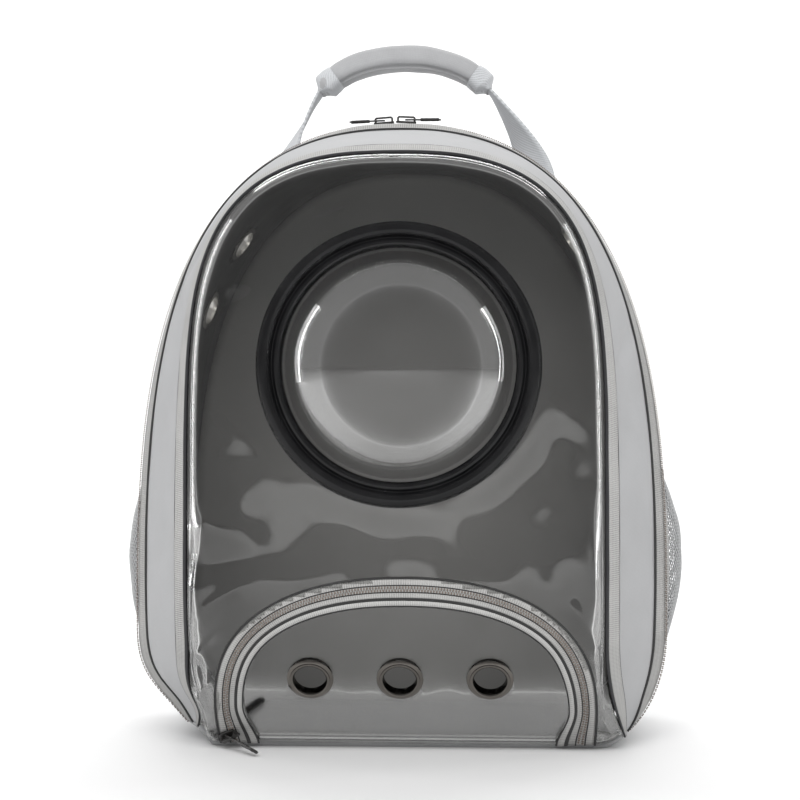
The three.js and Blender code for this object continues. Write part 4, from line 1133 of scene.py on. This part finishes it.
def gripSize(u):
    # Drawn in a little where the end bands stop
    near = min(u, 1 - u)
    return 1 - 0.05 * math.exp(-((near - handle["bandShare"]) / 0.02) ** 2)


def sewnFlat(u):
    # The ends are sewn down flat on the webbing
    shut = 1 - easeStep(0, 0.045, min(u, 1 - u))
    return 1 - 0.22 * shut, 1 - 0.72 * shut


def gripAt(u, v):
    spot, _, wide, thick = handleFrame(lerp(*gripEnds, u))
    w, t = oval(math.tau * v, handle["gripWidth"], handle["gripHeight"], handle["squareness"])
    fold = 1 + ripple((u * 46 + v * 9, w / 4, t / 4), 6, 0.09, 13) + ripple((u * 140, w, t), 30, 0.03, 17)
    flap = 1 - 0.13 * math.exp(-((v - 0.635) / 0.012) ** 2) + 0.07 * easeStep(0.64, 0.66, v) * easeStep(0.84, 0.74, v)
    across, through = sewnFlat(u)
    return spot + (wide * w * across + thick * t * through) * (gripSize(u) * fold * flap)


def gripBandAt(start):
    def at(u, v):
        along = start + u * handle["bandShare"]
        spot, _, wide, thick = handleFrame(lerp(*gripEnds, along))
        wider, higher = handle["gripWidth"] + handle["bandProud"], handle["gripHeight"] + handle["bandProud"]
        w, t = oval(math.tau * v, wider, higher, handle["squareness"])
        across, through = sewnFlat(along)
        size = gripSize(along) + ripple((along * 90, w, t), 9, 0.03, 61)
        return spot + (wide * w * across + thick * t * through) * size
    return at


def capped(bm):
    closedPiece(bm)
    edges = [edge for edge in bm.edges if edge.is_boundary]
    bmesh.ops.holes_fill(bm, edges=edges, sides=0)
    bmesh.ops.recalc_face_normals(bm, faces=bm.faces)
    return bm


def makeHandle():
    bm = gridPiece(150, 8, handleWebAt, (330, handle["width"]))
    bm.normal_update()
    web = finishPiece("handleWebbing", bm, webCloth, "webbing", ["handle_webbing"])
    thicken(web, handle["thickness"], 0)
    bm = capped(gridPiece(90, 48, gripAt, (140, 82), weld=True))
    grip = finishPiece("handleGrip", bm, padCloth, "padded_fabric", ["handle_grip"], sharp=60)
    for name, start in (("gripBandLeft", 0.0), ("gripBandRight", 1 - handle["bandShare"])):
        bm = closedPiece(gridPiece(16, 48, gripBandAt(start), (16, 84), weld=True))
        thicken(finishPiece(name, bm, webCloth, "webbing"), handle["bandThickness"])


# Side pockets of fine net, with an elastic band at the mouth and a bound edge below

pocket = {
    "floor": 58, "mouth": 178, "front": 20, "rear": 126, "bulge": 17, "seat": 0.6, "band": 8.6,
    "net": 4.4, "thread": 0.8, "closing": 0.965, "netArea": 0.0082,  # the strands alone
}


def pocketAt(sign, up, back, lift=0.0, rise=0.0):
    height = lerp(pocket["floor"], pocket["mouth"], up) + rise
    place = placeTable(height, sign)
    level = math.sin(math.pi * min(up * pocket["closing"], 1)) ** 0.75
    bulge = pocket["bulge"] * level * math.sin(math.pi * min(max(back, 0), 1)) ** 0.6
    return skin(place, lerp(pocket["front"], pocket["rear"], back), -pocket["seat"] - bulge - lift)


heightPlaces = [(placeAtHeight(h, 1), h) for h in range(40, 200, 4)]


def placeTable(height, sign):
    spot = (height - 40) / 4
    low = min(max(int(spot), 0), len(heightPlaces) - 2)
    place = lerp(heightPlaces[low][0], heightPlaces[low + 1][0], spot - low)
    return place if sign > 0 else fullTurn - place


def makePocket(side, sign):
    columns = round((pocket["rear"] - pocket["front"]) / pocket["net"])
    rows = round((pocket["mouth"] - pocket["floor"]) / pocket["net"])

    def netAt(u, v):
        spot = pocketAt(sign, v, u, 0.7)
        held = math.sin(math.pi * u) * math.sin(math.pi * v)
        return spot + Vector((sign * ripple(spot, 26, 2.2, 41) * held, 0, 0))

    name = "sidePocket" + side.title()
    within = (0, 70, 118)
    bm = turnedOut(gridPiece(columns, rows, netAt, (120, 125)), within)
    straight = list(bm.edges)
    bmesh.ops.poke(bm, faces=bm.faces)
    inner = [e for e in straight if e.is_valid and not e.is_boundary]
    bmesh.ops.dissolve_edges(bm, edges=inner, use_verts=False)
    net = finishPiece(name, bm, netThread, "pocket_net", [f"side_pocket_{side}"])
    strands = net.modifiers.new("strands", "WIREFRAME")
    strands.thickness = pocket["thread"] * millimetre
    strands.use_boundary = True
    strands.use_even_offset = False

    def mouthAt(u, v):
        puff = 0.3 * math.sin(u * 46 * math.pi) + 0.5 * math.sin(math.pi * v)
        ends = easeStep(0, 0.12, min(u, 1 - u))
        rise = lerp(0, pocket["band"] * (v - 0.5), lerp(0.6, 1, ends))
        return pocketAt(sign, 1, u, 0.3 + (0.9 + puff) * ends, rise)
    ribbon = (tapeCloth, "binding_tape")
    grid = (140, 8, mouthAt, (118, 9))
    band = laidPiece("pocketBand" + side.title(), grid, within, ribbon, 1, [f"pocket_band_{side}"])

    def hemAt(u, v):
        # Down the front edge, along the floor and up the rear edge
        turn = u * 3
        if turn < 1:
            up, back = 1 - turn, 0
        elif turn < 2:
            up, back = 0, turn - 1
        else:
            up, back = turn - 2, 1
        lift = 0.4 + 0.9 * math.sin(math.pi * v)
        across = (v - 0.5) * 6
        if 1 <= turn < 2:
            return pocketAt(sign, 0, back, lift, across)
        return pocketAt(sign, up, back + across / (pocket["rear"] - pocket["front"]), lift)
    hem = laidPiece("pocketHem" + side.title(), (150, 6, hemAt, (340, 6)), within, ribbon, 0.8)


# Straps on the back

strap = {
    "top": 352, "bottom": 150, "thickness": 10.4, "squareness": 0.62, "webWidth": 25, "webThickness": 1.8,
    "anchorAcross": 118, "anchorHeight": 40, "yokeHalf": 68, "yokeHeight": 26, "back": 162,
    "route": [  # across, behind the back panel, padded width
        (42, 8.2, 46), (46, 10, 54), (52, 14, 62), (60, 15, 64), (68, 15, 64), (78, 12, 58), (85, 8.5, 44),
    ],
}


def strapAt(sign):
    def at(u, v):
        across, behind, width = smoothRow(strap["route"], u)
        w, t = oval(math.tau * v, width, strap["thickness"], strap["squareness"])
        edge = abs(w) / (width / 2)
        groove = 1 - 0.3 * math.exp(-((edge - 0.86) / 0.05) ** 2)
        ends = 1 - 0.55 * (1 - easeStep(0, 0.03, u)) - 0.55 * easeStep(0.97, 1, u)
        puff = 1 + ripple((u * 190, w, 0), 30, 0.12, 51 + sign)
        height = lerp(strap["top"], strap["bottom"], u)
        return Vector((sign * across + w, strap["back"] + behind + t * groove * ends * puff, height))
    return at


def strapWebAt(sign):
    across, behind, _ = strap["route"][-1]
    start = Vector((sign * across, strap["back"] + behind, strap["bottom"] + 4))
    bend = Vector((sign * (strap["anchorAcross"] - 4), strap["back"] + 1.2, strap["anchorHeight"] + 20))
    end = Vector((sign * strap["anchorAcross"], strap["back"] + 1.2, strap["anchorHeight"] - 2))
    path = alongPath([start, start.lerp(bend, 0.5), bend, end])

    def at(u, v):
        along = (path(u + 0.02) - path(u - 0.02)).normalized()
        wide = Vector((-along.z, 0, along.x)).normalized()
        return path(u) + wide * ((v - 0.5) * strap["webWidth"])
    return at


def yokeAt(u, v):
    half, low = strap["yokeHalf"], strap["top"] - strap["yokeHeight"] + 6
    behind = strap["back"] + 1.4 + ripple((u * 136, 0, v * 26), 22, 0.5, 3)
    return Vector((lerp(-half, half, u), behind, low + strap["yokeHeight"] * v))


def makeStraps():
    webbing, thickness = (webCloth, "webbing"), strap["webThickness"]
    grid = (60, 12, yokeAt, (2 * strap["yokeHalf"], strap["yokeHeight"]))
    laidPiece("strapYoke", grid, (0, 100, 340), webbing, thickness, ["strap_yoke"], 0)
    for side, sign in (("left", -1), ("right", 1)):
        end = side.title()
        bm = capped(gridPiece(90, 56, strapAt(sign), (205, 130), weld=True))
        pad = finishPiece("shoulderStrap" + end, bm, padCloth, "padded_fabric", [f"shoulder_strap_{side}"])
        grid = (50, 6, strapWebAt(sign), (125, 25))
        laidPiece("strapWebbing" + end, grid, (0, 60, 100), webbing, thickness, [f"strap_webbing_{side}"], 0)
        nodeCopy(f"strap_adjuster_{side}", "strapAdjuster" + end, blackPlastic, "black_plastic", width=1.2)


sleeve = {"share": 0.64, "length": 0.56, "width": 6.2, "thickness": 2.3, "ribs": 5, "ribDepth": 0.16}


def pullSleeve(node, name):
    # A moulded sleeve on the tail of a pull
    joint = next(j for j in frame["record"]["behaviour"]["joints"] if j["child"] == node)
    pivot, axis = Vector(joint["pos_m"]), Vector(joint["axis"]).normalized()
    points = sorted((v.co for v in frame["nodes"][node].data.vertices), key=lambda p: -(p - pivot).length)
    tip = sum(points[:12], Vector()) / 12 - pivot
    tip -= axis * tip.dot(axis)
    reach, along = tip.length, tip.normalized()
    turn = Matrix((along, axis, along.cross(axis))).transposed().to_4x4()
    middle = Matrix.Translation(pivot + along * reach * sleeve["share"] * 1.06)
    size = (reach * sleeve["length"], sleeve["width"] * millimetre, sleeve["thickness"] * millimetre, 1)
    bm = bmesh.new()
    bmesh.ops.create_cube(bm, size=1, matrix=Matrix.Diagonal(size))
    bmesh.ops.bevel(bm, geom=bm.edges, offset=0.0009, segments=4, profile=0.5, affect="EDGES", material=-1)
    bmesh.ops.subdivide_edges(bm, edges=[e for e in bm.edges if e.calc_length() > 0.004], cuts=6)
    for vert in bm.verts:
        vert.co.yz *= 1 - sleeve["ribDepth"] * math.sin(vert.co.x / size[0] * sleeve["ribs"] * math.pi) ** 2
        vert.co.y *= lerp(0.8, 1.05, vert.co.x / size[0] + 0.5)
    bmesh.ops.transform(bm, matrix=middle @ turn, verts=bm.verts)
    bmesh.ops.recalc_face_normals(bm, faces=bm.faces)
    return finishPiece(name, bm, blackPlastic, "slider_metal", body=node)


slider = {"edge": 0.35, "bodySwell": 0.22, "pullSwell": 0.08}


def makeSliders():
    for node in ("main_slider_left", "main_slider_right", "door_slider"):
        nodeCopy(node, pieceName(node), sliderPaint, "slider_metal", width=slider["edge"], swell=slider["bodySwell"])
    for node in ("main_pull_left", "main_pull_right", "door_pull"):
        name = pieceName(node)
        nodeCopy(node, name, sliderPaint, "slider_metal", node, slider["edge"], slider["pullSwell"])
        pullSleeve(node, name + "Sleeve")


makeHandle()
makePocket("left", -1)
makePocket("right", 1)
makeStraps()
makeSliders()
print("handle, pockets, straps and sliders made")


# Studio

studio = {
    "cameraPlace": (0.069, -1.440, 0.228), "cameraTurn": 2.8, "lens": 96, "sensor": 36,
    "halfWidth": 7, "halfLength": 5, "flat": 2.2, "curve": 1.2, "paper": (0.86, 0.86, 0.86), "sky": 0.38,
    "lights": [  # name, place, target, width and height, power
        ("keyBox", (0, -2.3, 1.7), (0, 0, 0.2), (2.4, 1.6), 78),
        ("topBox", (0, 0.75, 1.6), (0, 0, 0.25), (2.2, 0.3), 5),
        ("leftBox", (-1.5, 0.35, 0.5), (0, 0, 0.2), (0.18, 1.5), 5),
        ("rightBox", (1.5, 0.35, 0.5), (0, 0, 0.2), (0.14, 1.5), 4),
        ("backBox", (0, 1.5, 2.2), (0, 2.4, 0.4), (3.0, 1.0), 60),
    ],
}


def placed(name, data):
    holder = bpy.data.objects.new(name, data)
    bpy.context.collection.objects.link(holder)
    return holder


def makeCamera():
    camera = bpy.data.cameras.new("camera")
    camera.lens = studio["lens"]
    camera.sensor_width = studio["sensor"]
    camera.clip_end = 50
    holder = placed("camera", camera)
    holder.location = studio["cameraPlace"]
    holder.rotation_euler = (math.radians(90), 0, math.radians(studio["cameraTurn"]))
    bpy.context.scene.camera = holder


def makeFloor():
    # A sheet of paper that runs back flat, then curves up
    flat, curve = studio["flat"], studio["curve"]
    bm = bmesh.new()
    bmesh.ops.create_grid(bm, x_segments=1, y_segments=60, size=1)
    for vert in bm.verts:
        x, run = vert.co.x * studio["halfWidth"], vert.co.y * studio["halfLength"]
        turn = min(max((run - flat) / curve, 0), math.pi / 2)
        past = max(run - flat - curve * math.pi / 2, 0)
        vert.co = (x, min(run, flat) + curve * math.sin(turn), curve * (1 - math.cos(turn)) + past)
    mesh = bpy.data.meshes.new("floor")
    bm.to_mesh(mesh)
    bm.free()
    mesh.shade_smooth()
    mesh.materials.append(newMaterial("floorPaper", studio["paper"], 0.7)[0])
    placed("floor", mesh)


def makeLights():
    for name, place, target, size, power in studio["lights"]:
        light = bpy.data.lights.new(name, "AREA")
        light.shape = "RECTANGLE"
        light.size, light.size_y = size
        light.energy = power
        lamp = placed(name, light)
        lamp.location = place
        lamp.rotation_euler = (Vector(target) - Vector(place)).to_track_quat("-Z", "Y").to_euler()
        lamp.visible_glossy = name != "keyBox"  # the key lights the cloth without a square of its own in the dome
    world = bpy.data.worlds.new("studioWorld")
    bpy.context.scene.world = world
    world.use_nodes = True
    sky = world.node_tree.nodes["Background"]
    sky.inputs["Color"].default_value = (1, 1, 1, 1)
    sky.inputs["Strength"].default_value = studio["sky"]


makeCamera()
makeFloor()
makeLights()
bpy.context.scene.view_settings.view_transform = "Standard"
print("studio made")
